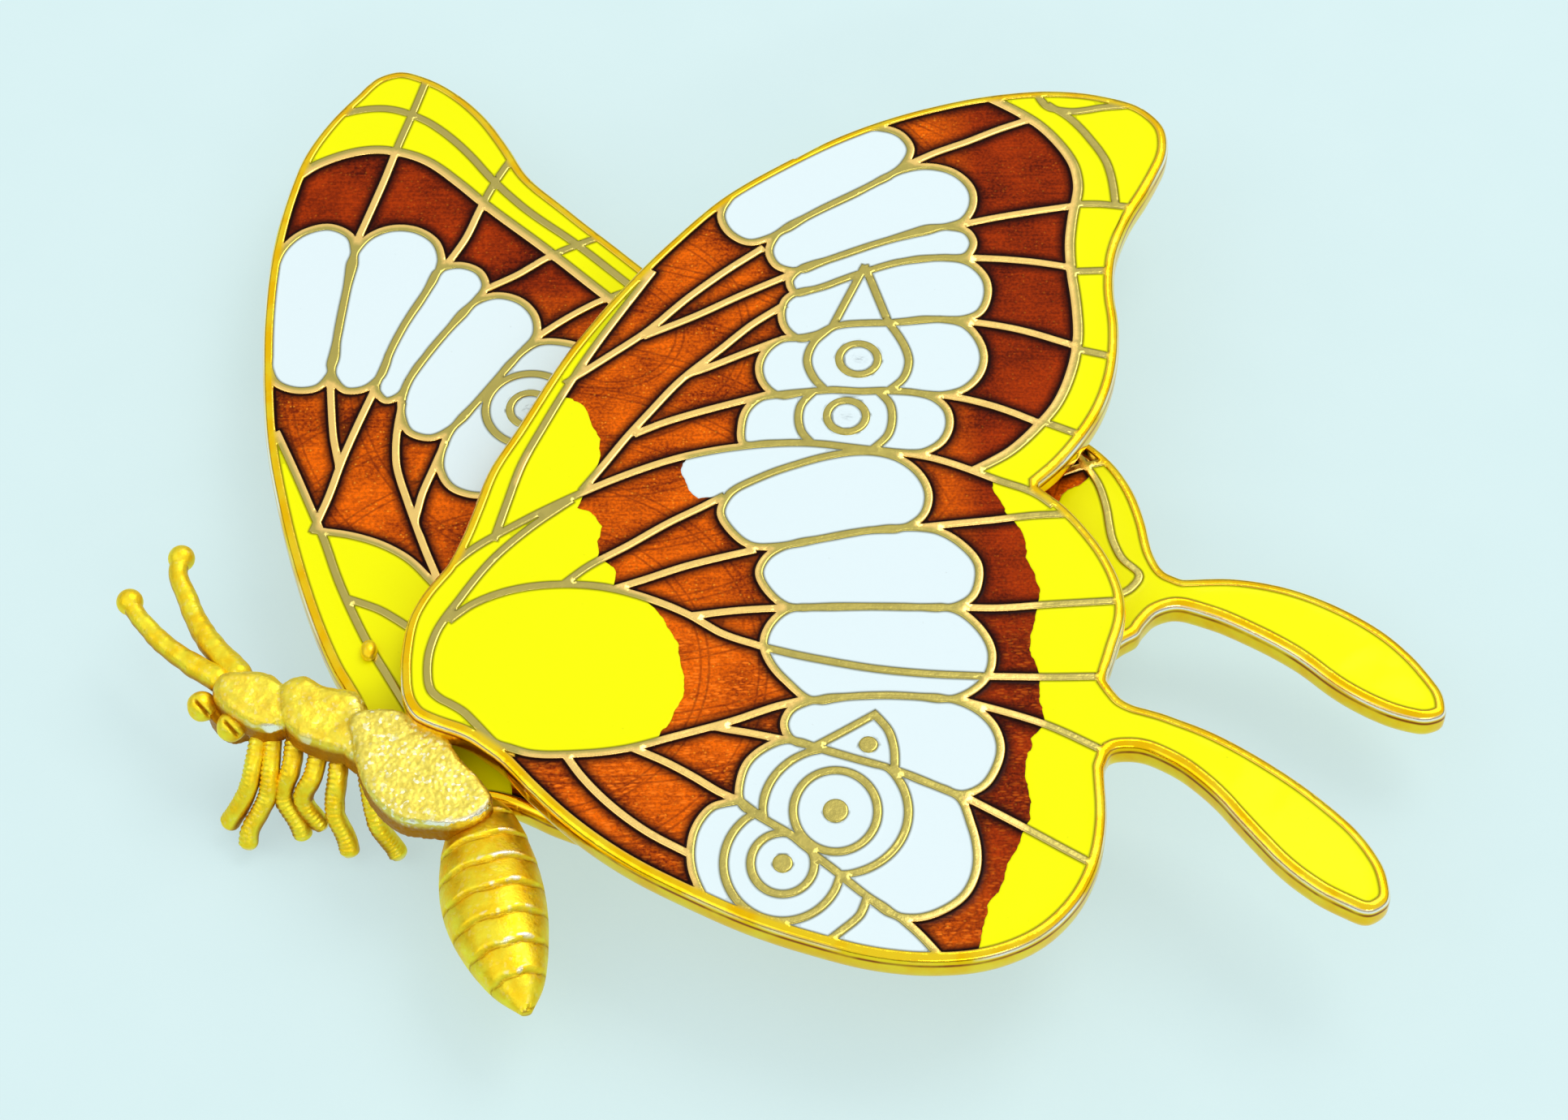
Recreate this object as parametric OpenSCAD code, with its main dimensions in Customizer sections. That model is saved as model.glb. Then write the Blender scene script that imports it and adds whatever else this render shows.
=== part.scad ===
// Swallowtail butterfly brooch: two enamelled wing plates, a cast body,
// and a pin stem with a roll-over safety catch on the back.
// Outline points are [x, y] in millimetres, seen from the front.

/* [Wing plates] */
// Thickness of each struck wing plate
plate_t = 1.8; // [1.5:0.1:2.2]
// Height of the rear plate's back above the lowest point
rear_z = 4.0; // [4:0.1:5]
// Air gap between the rear and the front plate
plate_gap = 1.0; // [0.6:0.1:1.6]
// Width of the raised rim around each plate
rim_w = 0.6; // [0.4:0.05:0.8]
// Width of the raised walls between the enamel cells
wall_w = 0.46; // [0.3:0.02:0.6]
// Depth of the enamel cells
cell_depth = 0.5; // [0.3:0.05:0.8]
// How far the enamel stays below the top of the walls
enamel_drop = 0.05; // [0:0.01:0.1]

/* [Body] */
// Thickness of the legs
leg_d = 1.1; // [0.8:0.05:1.4]
// Thickness of the antennae
antenna_d = 1.25; // [0.9:0.05:1.5]
// Radius of the ball at the end of each antenna
antenna_ball_r = 0.8; // [0.6:0.05:1]
// Length of the abdomen
abdomen_l = 12.9; // [12:0.1:14.5]
// Radius of the abdomen at its widest ring
abdomen_r = 2.9; // [2.4:0.1:3.2]

/* [Pin and catch] */
// Radius of the pin wire
stem_r = 0.45; // [0.4:0.05:0.5]
// Height of the pin's axis above the lowest point
pin_z = 1.9; // [1.9:0.05:2.1]
// Distance of the pin from the hinge to the catch
pin_span = 34; // [30:0.5:36]
// Radius of the rivet in the hinge
rivet_r = 0.4; // [0.3:0.05:0.5]
// Radial running clearance on the rivet and in the catch
fit_gap = 0.05; // [0.03:0.01:0.1]

/* [Hidden] */

front_z = rear_z + plate_t + plate_gap;
rear_top = rear_z + plate_t;
curve_step = 1.2;
curve_turn = 11;
seam = 0.015;
sliver = 0.08;
origin_x = 0.39;
origin_y = -3.22;
gold = "gold";
white = "azure";
brown = "saddlebrown";
yellow = "yellow";

// ---- Smooth curves through a few points ----

// Tangent at b of a smooth curve through a, b and c
function tangent(a, b, c) =
    let (d0 = norm(b - a), d1 = norm(c - b))
    ((c - b) / d1 * d0 + (b - a) / d0 * d1) / (d0 + d1);

// Angle between two directions
function turn(p, q) = acos(min(1, p * q / norm(p) / norm(q)));

// Points from a to b, without b, leaving along ta and arriving along tb
function span(a, b, ta, tb) =
    let (len_ab = norm(b - a),
        bend = turn(ta, b - a) + turn(b - a, tb),
        n = max(ceil(len_ab / curve_step), ceil(bend / curve_turn)))
    [for (k = [0 : n - 1])
        let (u = k / n, v = 1 - u)
        a * (1 + 2 * u) * v * v + ta * len_ab * u * v * v
        + b * u * u * (3 - 2 * u) - tb * len_ab * u * u * v];

// An open smooth curve through all the points
function curve(p) =
    let (last = len(p) - 1,
        t = [for (i = [0 : last])
            i == 0 ? (p[1] - p[0]) / norm(p[1] - p[0])
            : i == last ? (p[last] - p[last - 1]) / norm(p[last] - p[last - 1])
            : tangent(p[i - 1], p[i], p[i + 1])])
    [for (i = [0 : last - 1]) each span(p[i], p[i + 1], t[i], t[i + 1]), p[last]];

// A closed smooth curve through all the points
function loop(p) =
    let (n = len(p),
        t = [for (i = [0 : n - 1]) tangent(p[(i + n - 1) % n], p[i], p[(i + 1) % n])])
    [for (i = [0 : n - 1]) each span(p[i], p[(i + 1) % n], t[i], t[(i + 1) % n])];

// The same list of points in the other direction
function backwards(p) = [for (i = [len(p) - 1 : -1 : 0]) p[i]];

// Points of an ellipse
function oval(c, rx, ry, n = 26) =
    [for (k = [0 : n - 1]) c + [rx * cos(k * 360 / n), ry * sin(k * 360 / n)]];

// ---- Flat shapes for walls and cells ----

// Walls are drawn thinner by a sliver on each side, and the cells between them are then shrunk
// by a sliver, so gaps narrower than two slivers are left solid.
core_w = wall_w - 2 * sliver;
rim_core_w = rim_w - sliver;
border_core_w = rim_w - 2 * sliver;

// A wall of constant width along an open curve
module wire(p, w = core_w) {
    c = curve(p);
    last = len(c) - 1;
    side = [for (i = [0 : last])
        let (d = c[min(i + 1, last)] - c[max(i - 1, 0)]) [-d.y, d.x] / norm(d) * w / 2];
    polygon(concat([for (i = [0 : last]) c[i] + side[i]],
        [for (i = [last : -1 : 0]) c[i] - side[i]]));
}

// A wall of constant width around a closed outline
module fence(outline, w = core_w) {
    difference() {
        offset(delta = w / 2) polygon(outline);
        offset(delta = -w / 2) polygon(outline);
    }
}

module wires(list) {
    for (p = list) wire(p);
}

module fences(list) {
    for (p = list) fence(loop(p));
}

// Every polygon of a list, filled
module areas(list) {
    for (p = list) polygon(p);
}

// Moves everything so that the middle of the brooch is over the origin
module placed() {
    translate([origin_x, origin_y, 0]) children();
}

// ---- Front plate: outline ----

lead_edge = [[-18.6, -12.6], [-19.5, -12.1], [-20.1, -11.2], [-20.4, -9.6], [-20.4, -7.6], [-20.1, -5.6],
    [-19.3, -3.9], [-18.3, -2.4], [-17.6, -0.7], [-16.9, 1.6], [-16.2, 4.0], [-14.9, 6.6], [-12.1, 12.2],
    [-9.0, 16.9], [-6.4, 20.2], [-3.2, 23.6], [-0.5, 25.6], [4.6, 28.6], [8.5, 30.1], [12.2, 31.0],
    [15.9, 31.3], [18.6, 30.9], [20.9, 29.9], [22.0, 28.4], [22.1, 26.9], [21.2, 24.4], [19.6, 21.3],
    [18.8, 18.8], [18.6, 16.5], [18.75, 14.0], [18.5, 11.0], [17.7, 8.3], [16.3, 5.8], [15.0, 4.1],
    [14.0, 3.1]];
hind_edge = [[14.0, 2.9], [15.2, 1.8], [16.5, 0.1], [17.7, -2.1], [18.3, -4.2], [18.3, -5.8],
    [17.8, -7.6], [17.2, -9.6]];
tail_edge = [[17.2, -9.8], [17.9, -10.9], [20.0, -11.8], [22.4, -12.9], [25.3, -14.8], [28.2, -17.3],
    [30.3, -19.8], [31.2, -22.0], [31.1, -23.5], [30.2, -24.1], [28.6, -23.5], [26.2, -21.7],
    [24.0, -19.0], [22.2, -16.6], [20.3, -14.9], [18.4, -14.1], [17.2, -14.3], [16.8, -15.3]];
lower_edge = [[16.8, -15.5], [16.8, -18.6], [16.3, -21.2], [15.2, -23.5], [13.3, -25.5], [10.8, -26.7],
    [7.8, -27.1], [4.6, -26.8], [1.4, -25.9], [-1.8, -24.7], [-5.0, -23.1], [-8.4, -21.1],
    [-11.4, -18.7], [-13.6, -16.4], [-15.0, -14.8], [-16.6, -13.5]];
front_outline = concat(curve(lead_edge), curve(hind_edge), curve(tail_edge), curve(lower_edge));

// ---- Front plate: the walls that follow lines ----

// The line that parts forewing and hindwing, from the root to the notch
part_line = [[-18.6, -3.2], [-17.0, -1.5], [-14.5, 0.3], [-11.4, 2.2], [-8.7, 3.6], [-5.4, 4.9],
    [-2.1, 5.6], [1.2, 5.8], [4.3, 5.4], [6.6, 5.1], [8.2, 4.75], [9.9, 4.1], [11.6, 3.3], [13.8, 2.3],
    [14.6, 1.6]];
strip_line = [[-15.7, -0.7], [-15.0, 2.0], [-14.4, 4.2], [-13.3, 6.8], [-12.2, 9.2], [-11.0, 11.6],
    [-9.9, 13.6], [-8.6, 15.8], [-7.4, 17.8]];
border_line = [[11.3, 31.0], [13.2, 29.8], [14.6, 28.7], [15.8, 27.2], [16.6, 25.6], [16.8, 23.9],
    [16.5, 22.2], [16.2, 20.0], [16.2, 18.0], [16.4, 15.5], [16.4, 13.0], [15.9, 10.5], [15.0, 8.3],
    [13.9, 6.8], [12.4, 5.2], [10.4, 3.9]];
fore_veins = [
    [[-1.2, 19.5], [-3.2, 17.9], [-5.4, 15.9], [-7.8, 13.4], [-9.5, 12.0], [-12.1, 9.9]],
    [[0.2, 17.5], [-2.4, 16.1], [-5.0, 14.6], [-7.8, 13.2]],
    [[0.0, 15.4], [-1.8, 14.0], [-3.4, 12.4], [-5.9, 9.9], [-7.4, 7.9], [-8.7, 6.1], [-9.8, 4.4],
        [-11.0, 2.6]],
    [[-0.3, 12.9], [-2.4, 11.9], [-3.8, 11.2], [-5.3, 10.5]],
    [[-1.0, 9.1], [-3.2, 8.4], [-5.0, 7.8], [-6.8, 7.1], [-8.2, 6.4]],
    [[7.1, 25.6], [8.7, 26.5], [10.5, 27.3], [12.3, 28.2], [14.2, 29.0]],
    [[10.1, 21.2], [11.6, 21.6], [13.4, 22.0], [16.6, 22.6]],
    [[10.3, 18.8], [12.3, 18.7], [14.1, 18.5], [16.2, 18.1]],
    [[9.8, 14.3], [11.2, 14.1], [13.0, 13.7], [16.3, 12.5]],
    [[8.7, 9.1], [10.1, 8.8], [11.9, 8.2], [14.2, 7.1]]];
border_bars = [
    [[14.6, 31.1], [15.2, 30.0], [16.6, 29.6], [18.4, 29.9], [20.6, 30.1]],
    [[15.3, 30.1], [16.4, 29.2], [17.7, 27.4], [18.5, 25.8], [18.8, 24.2], [18.9, 22.6]],
    [[16.6, 22.7], [18.0, 22.7], [20.2, 22.4]],
    [[16.2, 17.8], [18.6, 17.9]],
    [[16.3, 12.3], [18.5, 11.7]],
    [[14.2, 7.3], [16.6, 6.2]]];
hind_veins = [
    [[-11.6, 1.9], [-13.4, 0.4], [-15.7, -2.0], [-17.5, -4.8], [-18.5, -6.6], [-18.95, -9.0],
        [-18.7, -10.5], [-17.0, -11.8], [-15.6, -13.4], [-14.8, -14.3]],
    [[-17.9, -6.0], [-16.9, -5.1], [-15.0, -4.15], [-12.7, -3.7], [-9.4, -3.9], [-7.0, -4.7],
        [-5.0, -5.7], [-3.4, -6.8], [-1.0, -7.75]],
    [[-11.8, -3.6], [-10.7, -2.6], [-8.5, -1.15], [-6.1, 0.5], [-4.4, 1.5], [-3.3, 2.2]],
    [[-1.6, -1.4], [-3.8, -2.0], [-5.4, -2.5], [-7.4, -3.3], [-9.0, -3.9]],
    [[-0.2, -5.2], [-2.4, -5.35], [-4.9, -5.7]],
    [[-15.4, -13.7], [-13.4, -14.45], [-11.0, -14.5], [-8.0, -14.1], [-6.1, -13.5], [-2.4, -12.3],
        [-0.4, -11.5], [1.0, -11.1]],
    [[-3.9, -12.8], [-2.2, -13.1], [0.0, -13.6]],
    [[-8.0, -14.1], [-6.2, -15.0], [-4.6, -16.0], [-3.3, -16.9], [-2.3, -17.4]],
    [[-11.5, -14.5], [-10.8, -15.6], [-9.0, -17.7], [-7.1, -19.3], [-4.8, -20.7]],
    [[7.35, 0.1], [8.9, 0.3], [11.4, 0.6], [13.6, 0.9], [15.6, 1.0]],
    [[9.3, -5.15], [11.4, -5.2], [13.9, -5.0], [18.2, -4.7]],
    [[10.8, -9.6], [13.9, -9.65], [17.1, -9.6]],
    [[9.3, -11.1], [11.2, -11.7], [13.9, -12.7], [16.8, -14.3]],
    [[9.2, -17.0], [11.0, -18.1], [12.6, -19.1], [14.3, -20.2], [16.2, -21.4]]];
hind_white_lines = [
    [[-1.0, -7.75], [0.6, -8.2], [2.3, -8.6], [4.8, -9.1], [7.3, -9.4], [10.8, -9.6]],
    [[1.5, -14.1], [3.1, -13.1], [4.8, -12.0]],
    [[4.7, -11.9], [5.5, -13.0], [5.8, -14.2], [5.8, -15.5]],
    [[-2.4, -17.3], [-0.9, -18.6], [0.4, -19.5], [1.6, -20.7], [2.6, -21.6], [4.3, -23.2],
        [5.9, -24.4], [6.9, -25.4], [8.0, -26.8]],
    [[4.3, -23.2], [3.9, -24.3], [3.1, -25.1], [2.2, -25.9]]];

// ---- Front plate: the white cells ----

fore_white = [
    [[-3.6, 21.9], [-3.0, 23.3], [-0.5, 25.4], [2.8, 27.4], [5.2, 28.4], [6.7, 27.9], [7.3, 26.8],
        [6.8, 25.5], [5.0, 24.1], [1.2, 21.7], [-0.7, 20.3], [-2.0, 19.9], [-3.1, 20.6]],
    [[-0.85, 19.2], [-0.4, 20.5], [1.2, 21.7], [5.0, 24.1], [6.5, 25.1], [8.0, 25.5], [9.8, 25.0],
        [10.75, 23.7], [10.75, 22.5], [10.1, 21.4], [9.2, 21.05], [6.0, 20.1], [2.4, 18.6], [0.5, 17.85],
        [-0.4, 18.2]],
    [[0.3, 17.1], [0.9, 17.95], [2.4, 18.6], [6.0, 20.1], [9.2, 21.05], [10.4, 20.7], [10.75, 19.9],
        [10.4, 19.0], [8.7, 18.8], [6.6, 18.5], [3.9, 17.5], [1.6, 16.5], [0.6, 16.3]],
    [[-0.15, 14.8], [0.1, 15.8], [0.7, 16.3], [1.6, 16.5], [3.9, 17.5], [6.6, 18.5], [8.7, 18.8],
        [10.4, 18.5], [11.4, 17.2], [11.45, 16.0], [10.9, 14.8], [10.0, 14.4], [8.7, 14.4], [5.9, 14.15],
        [4.1, 14.1], [2.7, 13.85], [2.0, 13.4], [0.8, 13.05], [0.1, 13.7]],
    [[-1.4, 11.0], [-1.0, 12.2], [-0.1, 13.0], [1.0, 13.1], [2.0, 13.4], [2.7, 13.85], [4.1, 14.1],
        [5.9, 14.15], [8.7, 14.4], [10.0, 14.1], [10.9, 12.9], [11.15, 11.7], [10.8, 10.4], [10.0, 9.5],
        [8.8, 9.1], [7.0, 9.3], [5.6, 9.4], [4.2, 9.35], [2.6, 9.45], [1.2, 9.3], [-0.4, 9.1],
        [-1.1, 9.8]],
    [[-2.35, 7.0], [-2.0, 8.2], [-1.2, 8.95], [-0.4, 9.1], [1.2, 9.3], [2.6, 9.45], [4.2, 9.35],
        [5.6, 9.4], [7.0, 9.3], [8.3, 8.9], [9.0, 8.1], [9.15, 7.1], [8.7, 5.9], [7.6, 5.15],
        [6.3, 5.15], [4.3, 5.4], [1.2, 5.8], [-1.0, 5.75], [-2.2, 5.7]]];
// Left and right borders of the round eye in the fifth and sixth cells
fore_eye_lines = [
    [[2.7, 13.8], [1.7, 12.8], [1.3, 11.5], [1.7, 10.2], [2.3, 9.4]],
    [[5.9, 14.1], [6.6, 12.8], [6.95, 11.5], [6.6, 10.2], [5.8, 9.4]],
    [[2.7, 13.85], [4.57, 18.2]],
    [[4.57, 18.2], [5.86, 14.1]],
    [[1.7, 9.4], [0.95, 8.4], [0.8, 7.5], [1.0, 6.5], [1.5, 5.8]],
    [[5.2, 9.4], [5.85, 8.5], [5.98, 7.5], [5.7, 6.3], [4.9, 5.4]]];
// Centre and radii of each ring in the eyes
fore_rings = [[[4.15, 11.6], 1.08, 1.08], [[3.45, 7.64], 1.08, 1.08]];

// The first hindwing cell has no wall at its left end, where white fades into brown
fade_white = [[-5.3, 4.9], [-5.5, 4.0], [-5.3, 2.9], [-4.7, 2.1], [-3.3, 2.2], [-1.5, 3.35], [0.6, 4.3],
    [2.8, 5.0], [4.2, 5.3], [1.2, 5.8], [-2.1, 5.6], [-4.0, 5.3]];
hind_white = [
    [[-3.45, 1.1], [-3.0, 2.3], [-1.5, 3.35], [0.6, 4.3], [2.8, 5.0], [4.6, 5.2], [6.2, 4.8],
        [7.4, 3.7], [7.9, 2.3], [7.5, 0.8], [6.7, 0.15], [4.6, -0.1], [1.8, -0.7], [-0.3, -1.15],
        [-1.8, -1.1], [-2.9, -0.1]],
    [[-1.35, -2.8], [-0.9, -1.8], [0.0, -1.15], [1.8, -0.7], [4.6, -0.1], [6.7, 0.1], [8.3, -0.1],
        [9.7, -1.1], [10.5, -2.4], [10.5, -3.4], [10.1, -4.5], [9.2, -5.1], [7.3, -5.15], [4.8, -5.1],
        [1.5, -5.15], [0.2, -5.1], [-0.8, -4.2]],
    [[-1.1, -7.5], [-0.7, -6.2], [0.2, -5.3], [1.5, -5.15], [4.8, -5.1], [7.3, -5.15], [9.2, -5.3],
        [10.4, -6.4], [11.1, -8.1], [10.85, -9.5], [10.0, -10.5], [8.9, -11.05], [7.3, -10.9],
        [5.3, -10.8], [3.3, -10.9], [1.4, -11.1], [0.2, -10.0], [-0.7, -8.8]],
    [[0.0, -12.6], [0.3, -11.8], [1.4, -11.15], [3.3, -10.9], [5.3, -10.8], [7.3, -10.9],
        [8.9, -11.05], [10.2, -11.7], [11.1, -12.8], [11.4, -14.0], [11.1, -15.4], [10.4, -16.5],
        [9.3, -17.0], [8.0, -16.5], [5.6, -15.4], [3.8, -14.8], [1.5, -14.0], [0.3, -13.5]],
    [[0.2, -13.6], [1.5, -14.0], [3.8, -14.8], [5.6, -15.4], [8.0, -16.5], [9.1, -17.1], [9.7, -18.7],
        [10.0, -20.2], [9.9, -21.8], [9.3, -23.1], [8.2, -24.0], [7.0, -24.45], [5.9, -24.4],
        [4.3, -23.2], [2.6, -21.6], [1.6, -20.7], [0.4, -19.5], [-0.9, -18.6], [-2.3, -17.4],
        [-2.3, -16.2], [-1.9, -15.0], [-1.0, -14.1]]];
// The lowest white cells reach the rim
low_white = [[-2.4, -17.4], [-3.7, -17.75], [-4.5, -18.8], [-4.85, -20.4], [-4.7, -21.8], [-4.3, -22.9],
    [-3.7, -24.2]];
low_white_floor = [[1.4, -27.0], [8.0, -27.5], [8.0, -26.8], [6.9, -25.4], [5.9, -24.4], [4.3, -23.2],
    [2.6, -21.6], [1.6, -20.7], [0.4, -19.5], [-0.9, -18.6]];
big_ring = [2.69, -18.0];
small_ring = [-0.07, -21.2];
hind_rings = [[big_ring, 2.2, 2.5], [big_ring, 3.8, 3.9], [small_ring, 1.65, 1.85], [small_ring, 3.05, 3.45]];
hind_dots = [[big_ring, 0.6, 0.65], [small_ring, 0.46, 0.5], [[4.44, -13.9], 0.44, 0.44]];

// ---- Front plate: where the brown enamel ends and the yellow begins, with no wall ----

fore_root_yellow = concat([[-12.5, 9.0], [-11.7, 8.8], [-10.9, 8.0], [-10.4, 6.8], [-10.15, 5.4],
    [-10.35, 3.9], [-11.0, 2.6]],
    [[-12.0, 1.8], [-14.5, 0.3], [-17.0, -1.5], [-18.6, -3.2], [-20.5, -3.5], [-20, 4], [-14, 14],
    [-8.3, 19.8]],
    backwards(strip_line));
hind_root_yellow = [[-10.9, 2.5], [-11.2, 1.5], [-10.4, 1.0], [-9.8, 0.1], [-10.0, -0.9], [-10.1, -1.9],
    [-9.5, -2.3], [-9.1, -3.0], [-9.2, -3.9], [-7.7, -4.4], [-6.6, -5.7], [-5.8, -7.4], [-5.4, -9.2],
    [-5.3, -10.2], [-5.7, -11.7], [-6.6, -13.4], [-8.0, -14.1], [-11.0, -14.5], [-13.4, -14.5],
    [-16, -15], [-23, -13], [-23, -3.6], [-18.6, -3.2], [-17.0, -1.5], [-14.5, 0.3], [-12.0, 1.8]];
hind_edge_yellow = [[11.3, 3.6], [11.6, 2.4], [12.0, 1.2], [12.7, 0.3], [13.1, -1.5], [13.7, -4.6],
    [13.4, -6.4], [13.1, -7.8], [13.6, -9.5], [13.6, -11.3], [13.8, -12.6], [13.0, -13.5], [12.7, -15.5],
    [12.7, -18.7], [12.0, -20.3], [11.1, -22.4], [10.4, -24.3], [9.7, -27.5], [34, -28], [34, -9],
    [19, 2.4], [13.8, 2.3]];
edge_slit = [[18.4, 20.3], [18.85, 21.3], [19.2, 22.2]];

// ---- Rear plate ----

rear_fore_edge = [[-22.4, -11.5], [-23.2, -9.4], [-24.3, -7.4], [-25.5, -4.6], [-26.5, -1.7], [-27.3, 1.0],
    [-28.1, 4.2], [-28.8, 7.6], [-29.3, 12.0], [-29.55, 17.0], [-29.3, 22.2], [-28.7, 25.9],
    [-27.9, 28.8], [-26.8, 31.0], [-25.1, 33.4], [-24.0, 34.7], [-22.7, 35.2], [-21.0, 34.7],
    [-19.2, 33.5], [-17.5, 31.7], [-16.1, 29.5], [-14.9, 27.3], [-12.5, 24.8], [-8.3, 20.7],
    [-5.2, 17.6], [-3.4, 15.2], [-2.6, 12.8]];
rear_hind_edge = [[-2.4, 12.4], [2.0, 12.4], [7.0, 12.0], [12.0, 10.8], [15.4, 9.2], [17.1, 7.9],
    [18.5, 6.3], [19.4, 4.5], [20.0, 2.2], [20.3, 0.4], [20.9, -0.8], [21.8, -1.25]];
rear_tail_edge = [[22.0, -1.25], [24.3, -1.2], [27.4, -1.8], [30.4, -3.2], [32.9, -5.1], [34.7, -7.4],
    [35.5, -9.2], [35.4, -10.1], [34.6, -10.5], [33.2, -10.3], [31.6, -9.6], [29.8, -8.4],
    [27.6, -6.4], [25.2, -4.8], [22.8, -3.6], [21.2, -3.2], [20.2, -3.6], [19.4, -4.6]];
rear_low_edge = [[19.3, -4.8], [17.6, -6.2], [16.6, -9.0], [15.4, -12.4], [12.6, -16.0], [8.4, -18.8],
    [3.0, -20.2], [-3.0, -19.9], [-8.6, -18.4], [-12.4, -16.9], [-14.4, -15.9], [-15.8, -15.6],
    [-17.4, -16.0], [-19.4, -16.4], [-21.0, -15.6], [-22.0, -13.8]];
rear_outline = concat(curve(rear_fore_edge), curve(rear_hind_edge), curve(rear_tail_edge),
    curve(rear_low_edge));

rear_band_line = [[-28.9, 26.3], [-27.3, 27.8], [-25.8, 28.6], [-24.0, 29.05], [-22.4, 28.9],
    [-20.6, 28.1], [-19.2, 26.9], [-17.3, 25.0], [-13.6, 21.6], [-10.4, 18.5], [-6.5, 14.8]];
rear_border_line = [[-26.8, 31.4], [-25.2, 32.0], [-23.4, 32.2], [-21.7, 31.7], [-20.0, 30.5],
    [-18.4, 28.8], [-16.9, 26.8], [-15.0, 24.7], [-12.0, 22.1], [-9.2, 19.4], [-6.5, 16.8]];
rear_root_line = [[-25.9, 1.9], [-24.0, 1.6], [-22.2, 1.0], [-20.6, 0.0], [-19.0, -1.8]];
rear_strip_line = [[-28.3, 8.6], [-27.0, 5.6], [-26.1, 3.4], [-25.3, 1.4], [-24.3, -1.5], [-23.3, -3.9],
    [-22.4, -5.8], [-21.0, -8.3], [-19.6, -10.8]];
rear_veins = [
    [[-20.9, 34.9], [-21.7, 32.0], [-22.5, 29.3], [-23.1, 27.0], [-23.8, 24.6], [-24.5, 22.3]],
    [[-15.6, 28.8], [-16.7, 26.7], [-17.5, 24.7], [-18.3, 22.4], [-19.3, 20.5]],
    [[-10.0, 22.8], [-11.8, 22.0], [-13.6, 21.0], [-15.2, 19.8], [-17.1, 18.7]],
    [[-8.4, 18.8], [-10.4, 17.9], [-12.1, 16.8], [-14.1, 15.2]],
    [[-25.5, 12.2], [-25.3, 9.9], [-25.1, 8.2], [-24.7, 6.3]],
    [[-22.9, 11.8], [-23.8, 9.1], [-24.5, 6.8], [-25.2, 4.0], [-25.9, 1.8]],
    [[-21.4, 10.6], [-21.6, 8.2], [-21.5, 6.3], [-20.9, 4.2], [-20.3, 2.4], [-19.6, 0.4], [-18.8, -1.6]],
    [[-18.9, 7.8], [-19.5, 5.9], [-20.0, 4.3], [-20.3, 2.4]],
    [[-23.7, -2.7], [-22.0, -3.4], [-20.3, -4.6]],
    [[16.4, 6.9], [17.4, 5.0], [17.8, 3.2], [18.0, 1.4], [18.5, 0.0], [19.4, -1.2], [18.9, -2.0],
        [17.6, -2.7]],
    [[15.4, 5.8], [16.7, 6.3], [18.8, 6.7]]];
rear_white = [
    [[-29.2, 20.0], [-28.7, 21.7], [-27.6, 22.9], [-26.1, 23.3], [-24.9, 22.6], [-24.6, 21.4],
        [-24.9, 18.9], [-25.3, 15.0], [-25.5, 12.7], [-26.2, 11.7], [-27.2, 11.5], [-28.5, 12.0],
        [-29.1, 13.3], [-29.3, 16.5]],
    [[-24.6, 21.4], [-23.8, 22.6], [-22.6, 23.2], [-21.2, 23.1], [-20.0, 22.2], [-19.6, 20.9],
        [-20.4, 18.5], [-21.5, 16.2], [-22.3, 14.0], [-22.7, 12.5], [-23.6, 11.6], [-24.6, 11.5],
        [-25.4, 12.5], [-25.3, 15.0], [-24.9, 18.9]],
    [[-19.5, 20.3], [-18.5, 20.5], [-17.4, 20.0], [-17.0, 19.0], [-17.6, 17.8], [-18.9, 16.0],
        [-20.1, 14.1], [-21.1, 12.2], [-21.5, 11.2], [-22.3, 10.8], [-22.9, 11.5], [-22.6, 12.9],
        [-22.3, 14.0], [-21.5, 16.2], [-20.4, 18.5]],
    [[-17.6, 17.8], [-16.4, 18.3], [-15.0, 17.9], [-14.1, 16.7], [-14.0, 15.5], [-14.9, 14.1],
        [-16.0, 12.5], [-17.4, 10.4], [-18.5, 8.9], [-19.7, 8.2], [-20.9, 8.6], [-21.4, 9.8],
        [-21.1, 12.2], [-20.1, 14.1], [-18.9, 16.0]],
    [[-18.5, 8.9], [-17.4, 10.4], [-16.0, 12.5], [-14.9, 14.1], [-13.9, 14.9], [-12.4, 14.9],
        [-10.8, 14.2], [-9.6, 12.5], [-10.0, 10.0], [-12.0, 7.0], [-14.0, 5.2], [-16.0, 4.3],
        [-17.3, 4.3], [-18.4, 4.8], [-19.1, 6.2], [-19.0, 7.5]]];
rear_ring = [-14.2, 10.2];
rear_rings = [[rear_ring, 1.15, 1.15], [rear_ring, 2.5, 2.5]];
rear_band_yellow = concat(backwards(rear_band_line), [[-31, 27], [-31, 37], [-6, 37]]);
rear_root_yellow = [[-30, 10], [-28.2, 8.4], [-27.0, 5.6], [-26.1, 3.4], [-25.8, 1.9], [-24.0, 1.6],
    [-22.2, 1.0], [-20.6, 0.0], [-19.0, -1.8], [-16, -4], [-14, -18], [-31, -18]];
rear_edge_yellow = [[15.0, 3.6], [15.2, 4.0], [17.0, 5.6], [16.2, 8.0], [15, 10], [37, 10], [37, -13],
    [14, -13]];
// How far the rear cells run on under the front plate
under_lap = 5;

// ---- Plates ----

module front_walls() {
    difference() {
        polygon(front_outline);
        offset(delta = -rim_core_w) polygon(front_outline);
    }
    wire(part_line);
    wire(strip_line);
    wire(border_line, border_core_w);
    wires(fore_veins);
    wires(border_bars);
    wires(hind_veins);
    wires(hind_white_lines);
    wires(fore_eye_lines);
    fences(fore_white);
    fences(hind_white);
    wire(low_white);
    for (r = fore_rings) fence(oval(r[0], r[1], r[2]));
    for (r = hind_rings) intersection() {
        fence(oval(r[0], r[1], r[2]));
        ring_side(r[0]);
    }
    for (d = hind_dots) polygon(oval(d[0], d[1], d[2], 16));
}

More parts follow.
